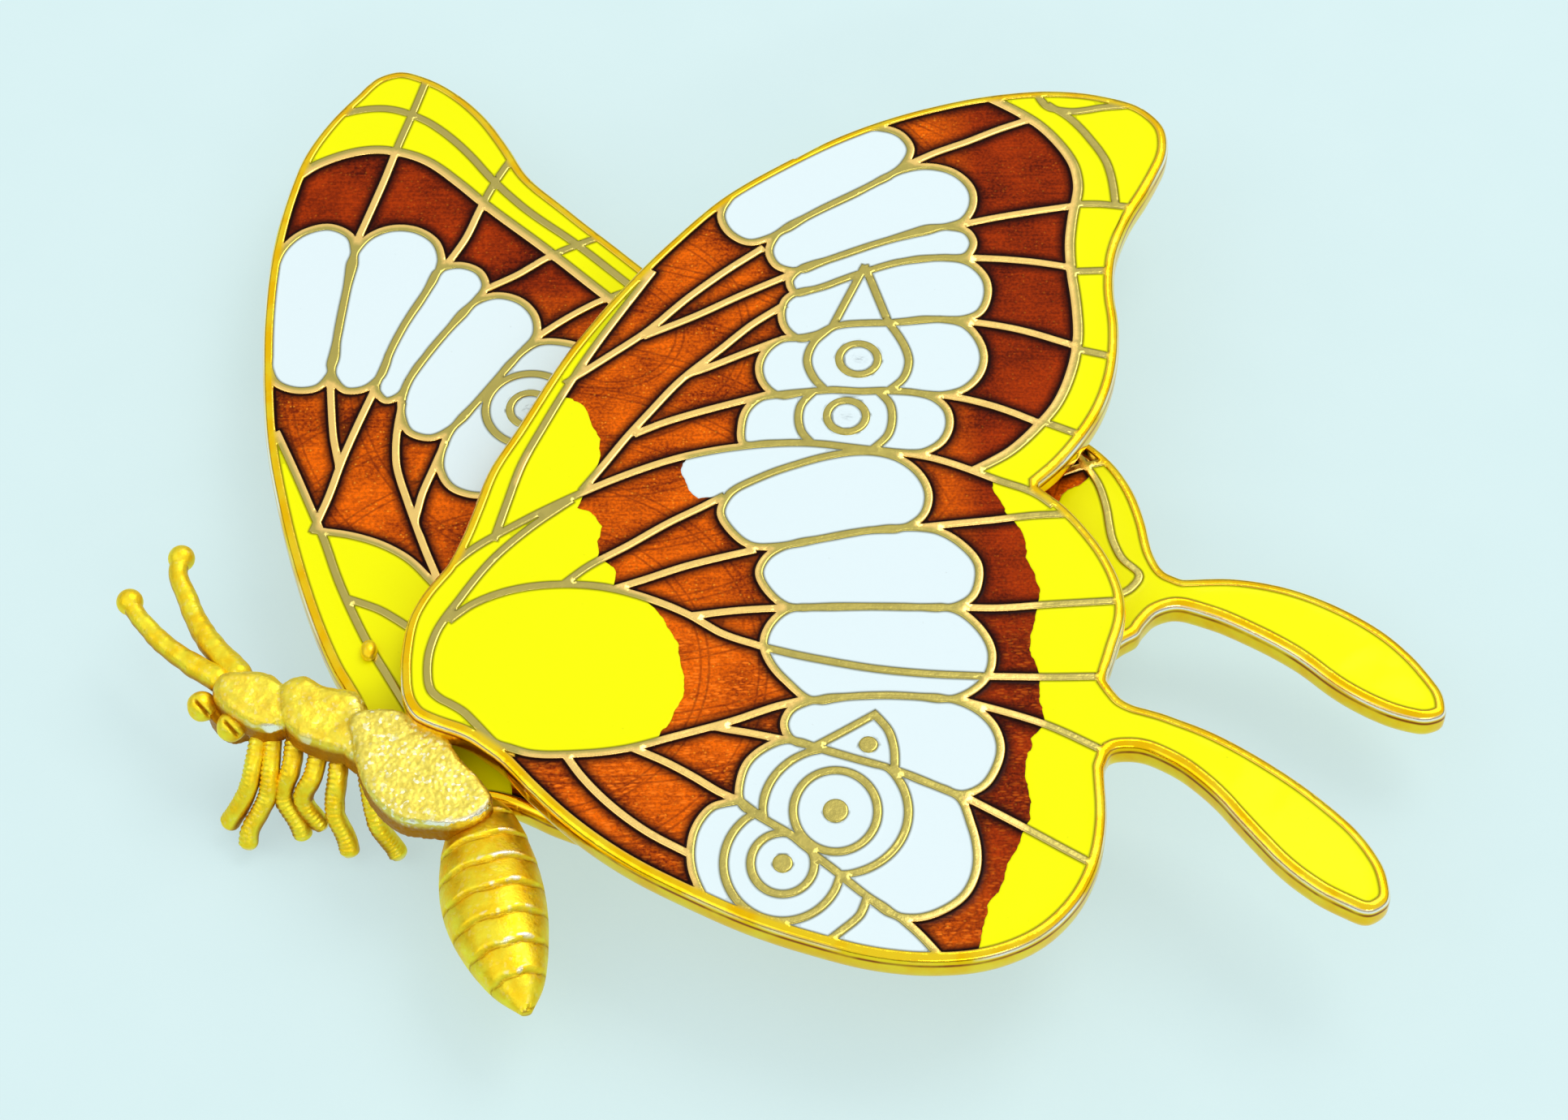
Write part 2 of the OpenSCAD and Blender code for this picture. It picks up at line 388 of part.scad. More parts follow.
// Each group of rings stays on its own side of the diagonal wall and inside the white cells
module ring_side(centre) {
    if (centre == big_ring) polygon(loop(hind_white[4]));
    else polygon(concat(curve(low_white), low_white_floor));
}

// The sunk cells of the front plate
module front_cells() {
    offset(delta = -sliver) difference() {
        polygon(front_outline);
        front_walls();
    }
}

module rear_walls() {
    difference() {
        polygon(rear_outline);
        offset(delta = -rim_core_w) polygon(rear_outline);
    }
    offset(delta = -under_lap) polygon(front_outline);
    wire(rear_band_line, border_core_w);
    wire(rear_border_line);
    wire(rear_root_line);
    wire(rear_strip_line);
    wires(rear_veins);
    fences(rear_white);
    for (r = rear_rings) intersection() {
        fence(oval(r[0], r[1], r[2]));
        polygon(loop(rear_white[4]));
    }
}

module rear_cells() {
    offset(delta = -sliver) difference() {
        polygon(rear_outline);
        rear_walls();
    }
}

module sunk_plate(outline, z) {
    placed() translate([0, 0, z]) difference() {
        linear_extrude(plate_t) polygon(outline);
        translate([0, 0, plate_t - cell_depth]) linear_extrude(cell_depth + 1) children();
    }
}

module front_wing_plate() {
    color(gold) sunk_plate(front_outline, front_z) {
        union() {
            front_cells();
            offset(delta = 0.001) wire(edge_slit, 0.3);
        }
    }
}

module rear_wing_plate() {
    color(gold) sunk_plate(rear_outline, rear_z) rear_cells();
}

// ---- Enamel ----

// Enamel fills the children's area, in cells of a plate whose back is at height z
module enamel(z) {
    placed() translate([0, 0, z + plate_t - cell_depth])
        linear_extrude(cell_depth - enamel_drop) offset(delta = -seam) children();
}

// The part of the front plate on the forewing side of the parting line
module fore_side() {
    polygon(concat(curve(part_line), [[30, 3], [30, 40], [-30, 40], [-30, -3.2]]));
}

module fore_white_area() {
    for (p = fore_white) polygon(loop(p));
}

module fore_yellow_area() {
    polygon(fore_root_yellow);
    polygon(concat(curve(border_line), [[13, 2], [30, 2], [30, 40], [11, 40]]));
}

module hind_white_area() {
    for (p = hind_white) polygon(loop(p));
    polygon(fade_white);
    polygon(concat(curve(low_white), low_white_floor));
}

module hind_yellow_area() {
    polygon(hind_root_yellow);
    polygon(hind_edge_yellow);
}

module front_forewing_white_enamel() {
    color(white) enamel(front_z) intersection() { front_cells(); fore_side(); fore_white_area(); }
}

module front_forewing_yellow_enamel() {
    color(yellow) enamel(front_z) intersection() { front_cells(); fore_side(); fore_yellow_area(); }
}

module front_forewing_brown_enamel() {
    color(brown) enamel(front_z) difference() {
        intersection() { front_cells(); fore_side(); }
        fore_white_area();
        fore_yellow_area();
    }
}

module front_hindwing_white_enamel() {
    color(white) enamel(front_z) difference() {
        intersection() { front_cells(); hind_white_area(); }
        fore_side();
    }
}

module front_hindwing_yellow_enamel() {
    color(yellow) enamel(front_z) difference() {
        intersection() { front_cells(); hind_yellow_area(); }
        fore_side();
    }
}

module front_hindwing_brown_enamel() {
    color(brown) enamel(front_z) difference() {
        front_cells();
        fore_side();
        hind_white_area();
        hind_yellow_area();
    }
}

module rear_fore_side() {
    translate([-32, -20]) square([32, 60]);
}

module rear_white_area() {
    for (p = rear_white) polygon(loop(p));
}

module rear_yellow_area() {
    polygon(rear_band_yellow);
    polygon(rear_root_yellow);
}

module rear_forewing_white_enamel() {
    color(white) enamel(rear_z) intersection() { rear_cells(); rear_white_area(); }
}

module rear_forewing_yellow_enamel() {
    color(yellow) enamel(rear_z) intersection() { rear_cells(); rear_yellow_area(); rear_fore_side(); }
}

module rear_forewing_brown_enamel() {
    color(brown) enamel(rear_z) difference() {
        intersection() { rear_cells(); rear_fore_side(); }
        rear_white_area();
        rear_yellow_area();
    }
}

module rear_hindwing_yellow_enamel() {
    color(yellow) enamel(rear_z) intersection() { rear_cells(); polygon(rear_edge_yellow); }
}

module rear_hindwing_brown_enamel() {
    color(brown) enamel(rear_z) difference() {
        rear_cells();
        rear_fore_side();
        polygon(rear_edge_yellow);
    }
}

// ---- Cast body ----

body_z = rear_z + 1.0;
blob_fn = 28;

// A rounded lump between two balls, each given as [x, y, z, radius]
module lump(a, b) {
    hull() {
        translate([a[0], a[1], a[2]]) sphere(a[3], $fn = blob_fn);
        translate([b[0], b[1], b[2]]) sphere(b[3], $fn = blob_fn);
    }
}

thorax_lumps = [
    [[-30.2, -8.8, 5.3, 1.5], [-27.6, -9.5, 5.2, 2.0]],
    [[-27.9, -9.4, 5.2, 2.0], [-26.6, -9.7, 5.3, 2.2]],
    [[-26.0, -9.9, 5.4, 2.3], [-24.2, -10.9, 5.6, 2.6]],
    [[-24.6, -11.0, 5.4, 2.5], [-22.8, -11.9, 5.6, 2.6]],
    [[-22.0, -12.6, 5.8, 2.7], [-19.4, -13.5, 5.9, 2.9]],
    [[-21.2, -14.2, 5.6, 2.6], [-19.2, -14.6, 5.7, 2.7]],
    [[-19.6, -14.2, 5.8, 2.6], [-18.0, -14.6, 5.7, 2.2]],
    [[-19.0, -15.0, 5.6, 2.3], [-17.2, -16.0, 5.2, 1.6]]];
thorax_floor = 3.4;
thorax_ceiling = 8.2;

module thorax_casting() {
    color(gold) placed() difference() {
        for (l = thorax_lumps) lump(l[0], l[1]);
        translate([-40, -30, thorax_floor - 10]) cube([40, 40, 10]);
        translate([-40, -30, thorax_ceiling]) cube([40, 40, 10]);
        translate([0, 0, rear_z - 1]) linear_extrude(plate_t + 1) polygon(rear_outline);
        translate([0, 0, front_z]) linear_extrude(plate_t + 2) polygon(front_outline);
        abdomen_space();
        for (p = eye_places) translate(p) sphere(eye_r + 0.02, $fn = 32);
        for (p = antenna_paths) bar(p, antenna_d);
        for (p = leg_paths) bar(p, leg_d);
    }
}

module abdomen_space() {
    translate([abdomen_root.x, abdomen_root.y, body_z]) rotate([0, 0, abdomen_turn])
        rotate([90, 0, 0]) cylinder(r = abdomen_r, h = abdomen_l, $fn = 40);
}

eye_places = [[-31.2, -9.45, 5.4], [-29.55, -10.75, 5.4]];
eye_r = 0.82;

module eyes() {
    color(gold) placed() for (p = eye_places) translate(p) sphere(eye_r, $fn = 32);
}

antenna_paths = [
    [[-30.4, -8.2, 5.6], [-32.4, -6.7, 5.6], [-34.1, -5.4, 5.6], [-35.3, -4.1, 5.6], [-35.6, -2.9, 5.6]],
    [[-29.2, -8.0, 5.6], [-30.8, -5.6, 5.6], [-32.0, -3.8, 5.6], [-32.8, -1.9, 5.6], [-33.0, 0.0, 5.6]]];

// A round bar through the points of a path
module bar(path, d) {
    for (i = [0 : len(path) - 2]) hull() {
        translate(path[i]) sphere(d = d, $fn = 16);
        translate(path[i + 1]) sphere(d = d, $fn = 16);
    }
}

module antennae() {
    color(gold) placed() for (p = antenna_paths) {
        bar(p, antenna_d);
        translate(p[len(p) - 1]) sphere(antenna_ball_r, $fn = 24);
    }
}

foot_z = leg_d / 2;
// Root, hip, knee and foot of each leg, from the head backwards
leg_paths = [
    [[-28.2, -9.8, 5.2], [-28.3, -10.7, 4.8], [-29.2, -13.1, 2.8], [-30.0, -14.2, foot_z]],
    [[-27.3, -9.9, 5.2], [-27.4, -10.8, 4.8], [-27.8, -13.1, 2.8], [-28.8, -15.4, foot_z]],
    [[-26.1, -10.2, 5.2], [-26.2, -11.2, 4.8], [-26.6, -13.7, 2.8], [-25.9, -14.9, foot_z]],
    [[-24.8, -10.8, 5.2], [-24.9, -11.6, 4.8], [-25.4, -13.2, 2.8], [-25.0, -13.9, foot_z]],
    [[-23.5, -11.3, 5.2], [-23.6, -12.1, 4.8], [-24.0, -13.9, 2.8], [-23.3, -16.1, foot_z]],
    [[-22.5, -12.0, 5.2], [-22.5, -12.8, 4.8], [-22.3, -14.3, 2.8], [-20.7, -16.2, foot_z]]];

module leg_set(numbers) {
    color(gold) placed() difference() {
        for (i = numbers) bar(leg_paths[i], leg_d);
        translate([0, 0, rear_z - 1]) linear_extrude(plate_t + 1) polygon(rear_outline);
    }
}

module front_legs() {
    leg_set([0, 1, 2]);
}

module rear_legs() {
    leg_set([3, 4, 5]);
}

// The abdomen tapers to both ends and steps down at each ring
abdomen_root = [-16.1, -15.5];
abdomen_turn = 12;
ring_count = 8;
ring_step = 0.18;
function abdomen_radius(u) = abdomen_r * pow(sin(180 * pow(0.1 + 0.88 * u, 0.9)), 0.62);
ring_profile = [for (k = [0 : ring_count - 1])
    let (u0 = k / ring_count, u1 = (k + 1) / ring_count)
    each [[abdomen_radius(u0) - (k > 0 ? ring_step : 0), u0 * abdomen_l],
        [abdomen_radius((u0 + u1) / 2), (u0 + 0.55 / ring_count) * abdomen_l],
        [abdomen_radius(u1), u1 * abdomen_l - 0.05]]];
abdomen_flat = 2.2;

module abdomen() {
    color(gold) placed() difference() {
        translate([abdomen_root.x, abdomen_root.y, body_z]) rotate([0, 0, abdomen_turn])
            rotate([90, 0, 0])
            rotate_extrude($fn = 48) polygon(concat([[0, 0]], ring_profile, [[0, abdomen_l]]));
        translate([-30, -40, body_z - abdomen_flat - 5]) cube([30, 30, 5]);
        translate([0, 0, rear_z - 1]) linear_extrude(plate_t + 1) polygon(rear_outline);
        translate([0, 0, front_z]) linear_extrude(plate_t + 2) polygon(front_outline);
    }
}

// ---- Posts and rivet ----

post_places = [[-3, 3], [9, 4], [-6, -7], [7, -9]];
post_r = 1.2;

module spacer_posts() {
    color(gold) placed() for (p = post_places)
        translate([p.x, p.y, rear_top]) cylinder(r = post_r, h = plate_gap, $fn = 40);
}

root_rivet_place = [-22.4, -6.2];

module root_rivet() {
    color(gold) placed() translate([root_rivet_place.x, root_rivet_place.y, rear_top]) {
        rotate_extrude($fn = 32) polygon([[0, 0], [0.5, 0], [0.5, 0.2], [0.42, 0.42], [0.25, 0.56], [0, 0.6]]);
    }
}

// ---- Hinge, pin and catch ----

hinge_x = -21;
pin_y = 8;
pad_t = 0.6;
pad_z = rear_z - pad_t;
ear_t = 0.8;
knuckle_w = 1.4;
ear_in = knuckle_w / 2 + fit_gap;
ear_r = pin_z;
knuckle_r = 1.15;
catch_x = hinge_x + pin_span;
catch_w = 2.6;
jaw_in = 1.3;
rotor_out = jaw_in - fit_gap;
rotor_in = stem_r + fit_gap;
slot_w = 2 * rotor_in;

// One ear of the hinge: a round end carried up to the pad
module ear(y) {
    difference() {
        union() {
            translate([0, y, pin_z]) rotate([-90, 0, 0]) cylinder(r = ear_r, h = ear_t, $fn = 48);
            translate([-ear_r, y, pin_z]) cube([2 * ear_r, ear_t, pad_z - pin_z]);
        }
        translate([0, y - 1, pin_z]) rotate([-90, 0, 0]) cylinder(r = rivet_r, h = ear_t + 2, $fn = 32);
    }
}

module hinge_bracket() {
    color(gold) placed() translate([hinge_x, pin_y, 0]) {
        translate([-2.2, -ear_in - ear_t, pad_z]) cube([4.4, 2 * (ear_in + ear_t), pad_t]);
        ear(ear_in);
        ear(-ear_in - ear_t);
    }
}

rivet_head_t = 0.3;

module hinge_rivet() {
    rivet_half = ear_in + ear_t;
    color(gold) placed() translate([hinge_x, pin_y, pin_z]) rotate([-90, 0, 0]) {
        translate([0, 0, -rivet_half]) cylinder(r = rivet_r, h = 2 * rivet_half, $fn = 32);
        translate([0, 0, rivet_half]) cylinder(r = rivet_r + 0.3, h = rivet_head_t, $fn = 32);
        translate([0, 0, -rivet_half - rivet_head_t])
            cylinder(r = rivet_r + 0.3, h = rivet_head_t, $fn = 32);
    }
}

// The wire flares towards its root, is even along the cloth, thins before the catch and ends in a point
root_l = 2.3;
cloth_end = 30.3;
taper_l = 1.4;
tip_r = stem_r - 0.09;
point_l = 2.4;
stem_past = 2.2;
stem_profile = [[0, 0], [stem_r + 0.15, 0], [stem_r, root_l], [stem_r, cloth_end],
    [tip_r, cloth_end + taper_l], [tip_r, pin_span + stem_past],
    [0.06, pin_span + stem_past + point_l], [0, pin_span + stem_past + point_l]];

module pin_stem() {
    color("silver") placed() translate([hinge_x, pin_y, pin_z]) {
        difference() {
            union() {
                rotate([-90, 0, 0]) translate([0, 0, -knuckle_w / 2])
                    cylinder(r = knuckle_r, h = knuckle_w, $fn = 48);
                rotate([0, 90, 0]) rotate_extrude($fn = 40) polygon(stem_profile);
            }
            rotate([-90, 0, 0]) translate([0, 0, -knuckle_w])
                cylinder(r = rivet_r + fit_gap, h = 2 * knuckle_w, $fn = 32);
        }
    }
}

// The jaw is a ring with flat feet and an open mouth below
jaw_out = pin_z;
mouth_w = 1.7;

module catch_base() {
    color(gold) placed() translate([catch_x, pin_y, pin_z]) {
        difference() {
            union() {
                rotate([0, 90, 0]) translate([0, 0, -catch_w / 2])
                    cylinder(r = jaw_out, h = catch_w, $fn = 48);
                translate([-catch_w / 2, -jaw_out, 0]) cube([catch_w, 2 * jaw_out, pad_z - pin_z]);
                translate([-catch_w / 2, -jaw_out + 0.35, -jaw_out])
                    cube([catch_w, 2 * jaw_out - 0.7, 1]);
            }
            rotate([0, 90, 0]) translate([0, 0, -catch_w]) cylinder(r = jaw_in, h = 2 * catch_w, $fn = 48);
            translate([-catch_w, -mouth_w / 2, -3]) cube([2 * catch_w, mouth_w, 3]);
        }
        translate([-catch_w / 2, -2.6, pad_z - pin_z]) cube([catch_w, 5.2, pad_t]);
    }
}

// The rotor is a slotted sleeve with flanges that keep it in the jaw, and a finger tab on one flange
flange_t = 0.5;
flange_r = rotor_out + 0.2;
tab_angle = 212;
tab_out = 2.5;

module catch_rotor() {
    rotor_l = catch_w + 2 * flange_t + 2 * fit_gap;
    color("silver") placed() translate([catch_x, pin_y, pin_z]) difference() {
        union() {
            rotate([0, 90, 0]) translate([0, 0, -rotor_l / 2]) cylinder(r = rotor_out, h = rotor_l, $fn = 48);
            for (side = [-1, 1]) translate([side * (rotor_l - flange_t) / 2, 0, 0]) rotate([0, 90, 0])
                translate([0, 0, -flange_t / 2]) cylinder(r = flange_r, h = flange_t, $fn = 48);
            rotate([tab_angle, 0, 0]) translate([rotor_l / 2 - flange_t, 0.8, -0.35])
                cube([flange_t, tab_out - 0.8, 0.7]);
        }
        rotate([0, 90, 0]) translate([0, 0, -rotor_l]) cylinder(r = rotor_in, h = 2 * rotor_l, $fn = 32);
        translate([-rotor_l, -slot_w / 2, -3]) cube([2 * rotor_l, slot_w, 3]);
    }
}

front_wing_plate();
rear_wing_plate();
front_forewing_white_enamel();
front_forewing_brown_enamel();
front_forewing_yellow_enamel();
front_hindwing_white_enamel();
front_hindwing_brown_enamel();
front_hindwing_yellow_enamel();
rear_forewing_white_enamel();
rear_forewing_brown_enamel();
rear_forewing_yellow_enamel();
rear_hindwing_brown_enamel();
rear_hindwing_yellow_enamel();
thorax_casting();
eyes();
antennae();
front_legs();
rear_legs();
abdomen();
spacer_posts();
root_rivet();
hinge_bracket();
hinge_rivet();
pin_stem();
catch_base();
catch_rotor();
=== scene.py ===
"""Swallowtail brooch: finished surfaces, materials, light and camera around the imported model."""

import math

import bpy
import numpy as np
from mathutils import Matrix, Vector, geometry, noise
from mathutils.bvhtree import BVHTree


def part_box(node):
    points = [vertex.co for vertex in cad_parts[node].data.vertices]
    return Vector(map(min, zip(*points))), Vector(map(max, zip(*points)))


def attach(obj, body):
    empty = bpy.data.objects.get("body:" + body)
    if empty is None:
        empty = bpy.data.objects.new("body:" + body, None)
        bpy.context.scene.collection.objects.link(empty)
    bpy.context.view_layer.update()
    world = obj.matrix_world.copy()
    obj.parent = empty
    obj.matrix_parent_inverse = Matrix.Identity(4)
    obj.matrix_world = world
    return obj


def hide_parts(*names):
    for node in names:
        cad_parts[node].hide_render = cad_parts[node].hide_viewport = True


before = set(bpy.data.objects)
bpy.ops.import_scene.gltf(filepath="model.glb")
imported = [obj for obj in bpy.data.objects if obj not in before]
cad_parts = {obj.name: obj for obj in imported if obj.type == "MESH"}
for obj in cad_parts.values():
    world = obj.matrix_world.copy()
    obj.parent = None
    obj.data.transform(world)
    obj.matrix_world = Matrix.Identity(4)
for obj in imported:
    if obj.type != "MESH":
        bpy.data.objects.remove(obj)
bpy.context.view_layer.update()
body = "brooch"
MM = 0.001

# Every size below is in mm, unless a comment says otherwise

# Where the drawing's own origin lies in the shared frame
SHIFT = np.array([0.39, -3.22, 0.0])

# Distance between points along an outline
STEP = 0.22
# Two points of a filled area are never closer than about this
LEAST_GAP = 0.07

# Plates: roundings of the rim, of the cell walls and of the back edge
RIM_ROUND = 0.42
WALL_ROUND = 0.06
BACK_ROUND = 0.6
BACK_INSET = 0.3
BACK_STEPS = 5
BACK_GRID = 2.0
PLATE_ROWS = [0.04, 0.12, 0.2]
PLATE_GRID = 0.5
CELL_DEPTH = 0.45
# The walls' tops dip by this depth in patches of this size, away from the cells' edges
DIP_DEPTH = 0.02
DIP_SIZE = 2.5
DIP_START = 0.2
# A wire changes tone over this distance between two enamels
TINT_REACH = 0.25
# Cells smaller than this, in square mm, are solid metal
LEAST_CELL = 0.5

# Enamel: how far it laps into the walls, lies below their tops, climbs beside them and stops above
# the cell's floor; and the height and size of its unevenness
ENAMEL_LAP = 0.03
ENAMEL_SINK = 0.035
BROWN_SINK = 0.012
ENAMEL_CLIMB = 0.03
CLIMB_REACH = 0.14
ENAMEL_BED = 0.02
ENAMEL_ROWS = [0.1, 0.22]
ENAMEL_GRID = 0.36
UNEVEN_HEIGHT = 0.01
UNEVEN_SIZE = 1.8
# Where two enamels meet, the border sways by this much, in waves of two sizes, away from the walls
BORDER_SWAY = 0.22
SWAY_SIZE = 1.1
SMALL_SWAY = 0.45
SMALL_SWAY_SIZE = 0.33
SWAY_START = 0.06
SWAY_FADE = 0.3


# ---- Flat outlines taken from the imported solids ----

def welded(node):
    """Points in mm and triangles of a CAD node, with equal points joined."""
    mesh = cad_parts[node].data
    mesh.calc_loop_triangles()
    co = np.empty(len(mesh.vertices) * 3, np.float32)
    mesh.vertices.foreach_get("co", co)
    points, index = np.unique(np.round(co.reshape(-1, 3) / MM, 4), axis=0, return_inverse=True)
    triangles = np.array([t.vertices[:] for t in mesh.loop_triangles])
    return points, index.reshape(-1)[triangles]


def flat_loops(node):
    """Closed outlines, with the area on their left, of the highest flat faces of a CAD node."""
    points, triangles = welded(node)
    level = points[:, 2].max()
    flat = triangles[(np.abs(points[triangles][:, :, 2] - level) < 0.002).all(axis=1)]
    edges = {edge for a, b, c in flat for edge in ((a, b), (b, c), (c, a))}
    follow = {}
    for a, b in sorted(edges):
        if (b, a) not in edges:
            follow.setdefault(a, []).append(b)
    loops = []
    while follow:
        at = next(iter(follow))
        loop = []
        while at in follow:
            loop.append(points[at][:2])
            nexts = follow[at]
            after = nexts.pop()
            if not nexts:
                del follow[at]
            at = after
        if len(loop) > 2:
            loops.append(np.array(loop))
    return loops, level


def area(loop):
    """Area inside a loop, positive when it runs anticlockwise."""
    x, y = loop.T
    return 0.5 * float(np.sum(x * np.roll(y, -1) - y * np.roll(x, -1)))


def unit(v):
    """Vectors with the same direction and a length of 1."""
    return v / np.maximum(np.linalg.norm(v, axis=-1, keepdims=True), 1e-9)


def refined(loop, step=STEP, corner=28):
    """The loop with more points: round where it turns gently, with its corners kept."""
    chord = np.roll(loop, -1, axis=0) - loop
    length = np.linalg.norm(chord, axis=1)
    loop, chord, length = loop[length > 1e-4], chord[length > 1e-4], length[length > 1e-4]
    ahead = unit(chord)
    behind = np.roll(ahead, 1, axis=0)
    sharp = np.sum(ahead * behind, axis=1) < math.cos(math.radians(corner))
    before = np.roll(length, 1)[:, None]
    mean = unit(ahead * before + behind * length[:, None])
    leaving = np.where(sharp[:, None], ahead, mean)
    arriving = np.roll(np.where(sharp[:, None], behind, mean), -1, axis=0)
    end = np.roll(loop, -1, axis=0)
    out = []
    for a, b, ta, tb, size in zip(loop, end, leaving, arriving, length):
        count = max(1, math.ceil(size / step))
        for u in np.arange(count) / count:
            v = 1 - u
            out.append(a * (1 + 2 * u) * v * v + ta * size * u * v * v
                       + b * u * u * (3 - 2 * u) - tb * size * u * u * v)
    return np.array(out)


def pushed(loop, distance):
    """The loop moved to its left by a distance, with mitred corners."""
    ahead = unit(np.roll(loop, -1, axis=0) - loop)
    behind = np.roll(ahead, 1, axis=0)
    side = unit(ahead + behind)
    left = np.stack([-side[:, 1], side[:, 0]], axis=1)
    spread = np.maximum(np.abs(np.sum(side * ahead, axis=1)), 0.5)
    return loop + left * (distance / spread)[:, None]


def ribbon(loops):
    """A search tree over upright strips on the loops: its nearest point gives the distance to them."""
    points, faces = [], []
    for loop in loops:
        first, count = len(points), len(loop)
        points += [(x, y, z) for x, y in loop for z in (-1.0, 1.0)]
        faces += [(first + 2 * i, first + 2 * i + 1, first + 2 * ((i + 1) % count) + 1,
                   first + 2 * ((i + 1) % count)) for i in range(count)]
    return BVHTree.FromPolygons(points, faces)


def distance(tree, points):
    """How far each point lies from the nearest strip of a tree."""
    return np.array([tree.find_nearest((x, y, 0.0))[3] for x, y in points[:, :2]])


def inside(points, loops):
    """True for points inside an odd number of loops."""
    a = np.concatenate(loops)
    b = np.concatenate([np.roll(loop, -1, axis=0) for loop in loops])
    low, high = np.minimum(a[:, 1], b[:, 1]), np.maximum(a[:, 1], b[:, 1])
    order = np.argsort(points[:, 1])
    result = np.zeros(len(points), bool)
    for part in np.array_split(order, max(1, len(points) // 500)):
        p = points[part]
        near = (low <= p[-1, 1]) & (high >= p[0, 1])
        u, v = a[near], b[near]
        x, y = p[:, :1], p[:, 1:2]
        crosses = (u[:, 1] > y) != (v[:, 1] > y)
        slope = (v[:, 0] - u[:, 0]) / np.where(v[:, 1] == u[:, 1], 1, v[:, 1] - u[:, 1])
        result[part] = np.sum(crosses & (x < u[:, 0] + (y - u[:, 1]) * slope), axis=1) % 2 == 1
    return result


def candidates(loops, depths, spacing):
    """Rows of points inside the loops at some depths, then a grid; each with its least distance."""
    wanted = [(pushed(loop, depth), depth * 0.85) for depth in depths for loop in loops]
    if spacing:
        border = np.concatenate(loops)
        low, high = border.min(axis=0), border.max(axis=0)
        xs = np.arange(low[0], high[0], spacing)
        ys = np.arange(low[1], high[1], spacing * 0.866)
        grid = np.stack(np.meshgrid(xs, ys), axis=-1)
        grid[1::2, :, 0] += spacing / 2
        deepest = max(depths) if depths else 0
        wanted.append((grid.reshape(-1, 2), deepest + spacing * 0.45))
    return wanted


def inner_points(loops, depths, spacing):
    """Points between the loops: none too close to a loop, and no two of them together."""
    tree = ribbon(loops)
    taken = {}
    for points, least in candidates(loops, depths, spacing):
        points = points[inside(points, loops)]
        if len(points) == 0:
            continue
        for p in points[distance(tree, points) > least]:
            taken.setdefault((round(p[0] / LEAST_GAP), round(p[1] / LEAST_GAP)), p)
    return list(taken.values())


def fill(loops, depths, spacing):
    """Points and triangles of the flat area between loops, and each loop's own point numbers.

    Extra rows of points lie at the depths inside every loop, and a grid beyond them."""
    border = np.concatenate(loops)
    starts = np.cumsum([0] + [len(loop) for loop in loops])
    edges = [(s + i, s + (i + 1) % len(loop)) for s, loop in zip(starts, loops) for i in range(len(loop))]
    extra = inner_points(loops, depths, spacing) if depths or spacing else []
    every = np.concatenate([border, np.array(extra)]) if extra else border
    flat = geometry.delaunay_2d_cdt([Vector(p) for p in every], edges, [], 0, 1e-6)
    points = np.array([v[:] for v in flat[0]])
    triangles = np.array(flat[2])
    triangles = triangles[inside(points[triangles].mean(axis=1), loops)]
    new_number = {old: new for new, olds in enumerate(flat[3]) for old in olds}
    rows = [[new_number[s + i] for i in range(len(loop))] for s, loop in zip(starts, loops)]
    return points, triangles, rows


class Shell:
    """Collects the points and faces of one closed piece, in mm."""

    def __init__(self):
        self.points, self.faces, self.values, self.count = [], [], {}, 0

    def add(self, points, **values):
        """Adds points with named values, and returns the number of the first."""
        first = self.count
        self.points.append(np.asarray(points, float))
        self.count += len(points)
        for name, value in values.items():
            self.values.setdefault(name, []).append((first, np.broadcast_to(value, len(points))))
        return first

    def level(self, flat, z, **values):
        """Adds flat points at one height, or at a height each."""
        return self.add(np.column_stack([flat, np.broadcast_to(z, len(flat))]), **values)

    def strip(self, upper, lower):
        """Faces between two rings of point numbers."""
        for i in range(len(upper)):
            j = (i + 1) % len(upper)
            self.faces.append((upper[i], lower[i], lower[j], upper[j]))

    def tube(self, rings):
        """Faces through a row of rings, closed at both ends."""
        self.faces.append(tuple(rings[0]))
        for a, b in zip(rings, rings[1:]):
            self.strip(a, b)
        self.faces.append(tuple(rings[-1][::-1]))

    def sheet(self, triangles, first, facing_up=True):
        """Triangles on points added from number first on."""
        step = 1 if facing_up else -1
        self.faces += [tuple(int(first + n) for n in t[::step]) for t in triangles]

    def object(self, name):
        """The piece as a smooth object whose point attributes are the named values."""
        mesh = bpy.data.meshes.new(name)
        mesh.from_pydata((np.concatenate(self.points) * MM).tolist(), [], self.faces)
        mesh.update()
        for key, parts in self.values.items():
            data = np.zeros(self.count, np.float32)
            for first, value in parts:
                data[first:first + len(value)] = value
            mesh.attributes.new(key, "FLOAT", "POINT").data.foreach_set("value", data)
        mesh.shade_smooth()
        piece = bpy.data.objects.new(name, mesh)
        bpy.context.scene.collection.objects.link(piece)
        return piece


def ring(first, count):
    """The numbers of count points that follow one another."""
    return list(range(first, first + count))


def rounding(depth, radius):
    """How far a rounded edge has dropped at a depth inside it."""
    x = np.clip(1 - depth / radius, 0, 1)
    return radius * (1 - np.sqrt(1 - x * x))


def waves(points, size, seed=0.0):
    """Smooth noise between about -1 and 1 at points in mm."""
    return np.array([noise.noise((p[0] / size, p[1] / size, seed + (p[2] / size if len(p) > 2 else 0)))
                     for p in points])


# ---- Plates ----

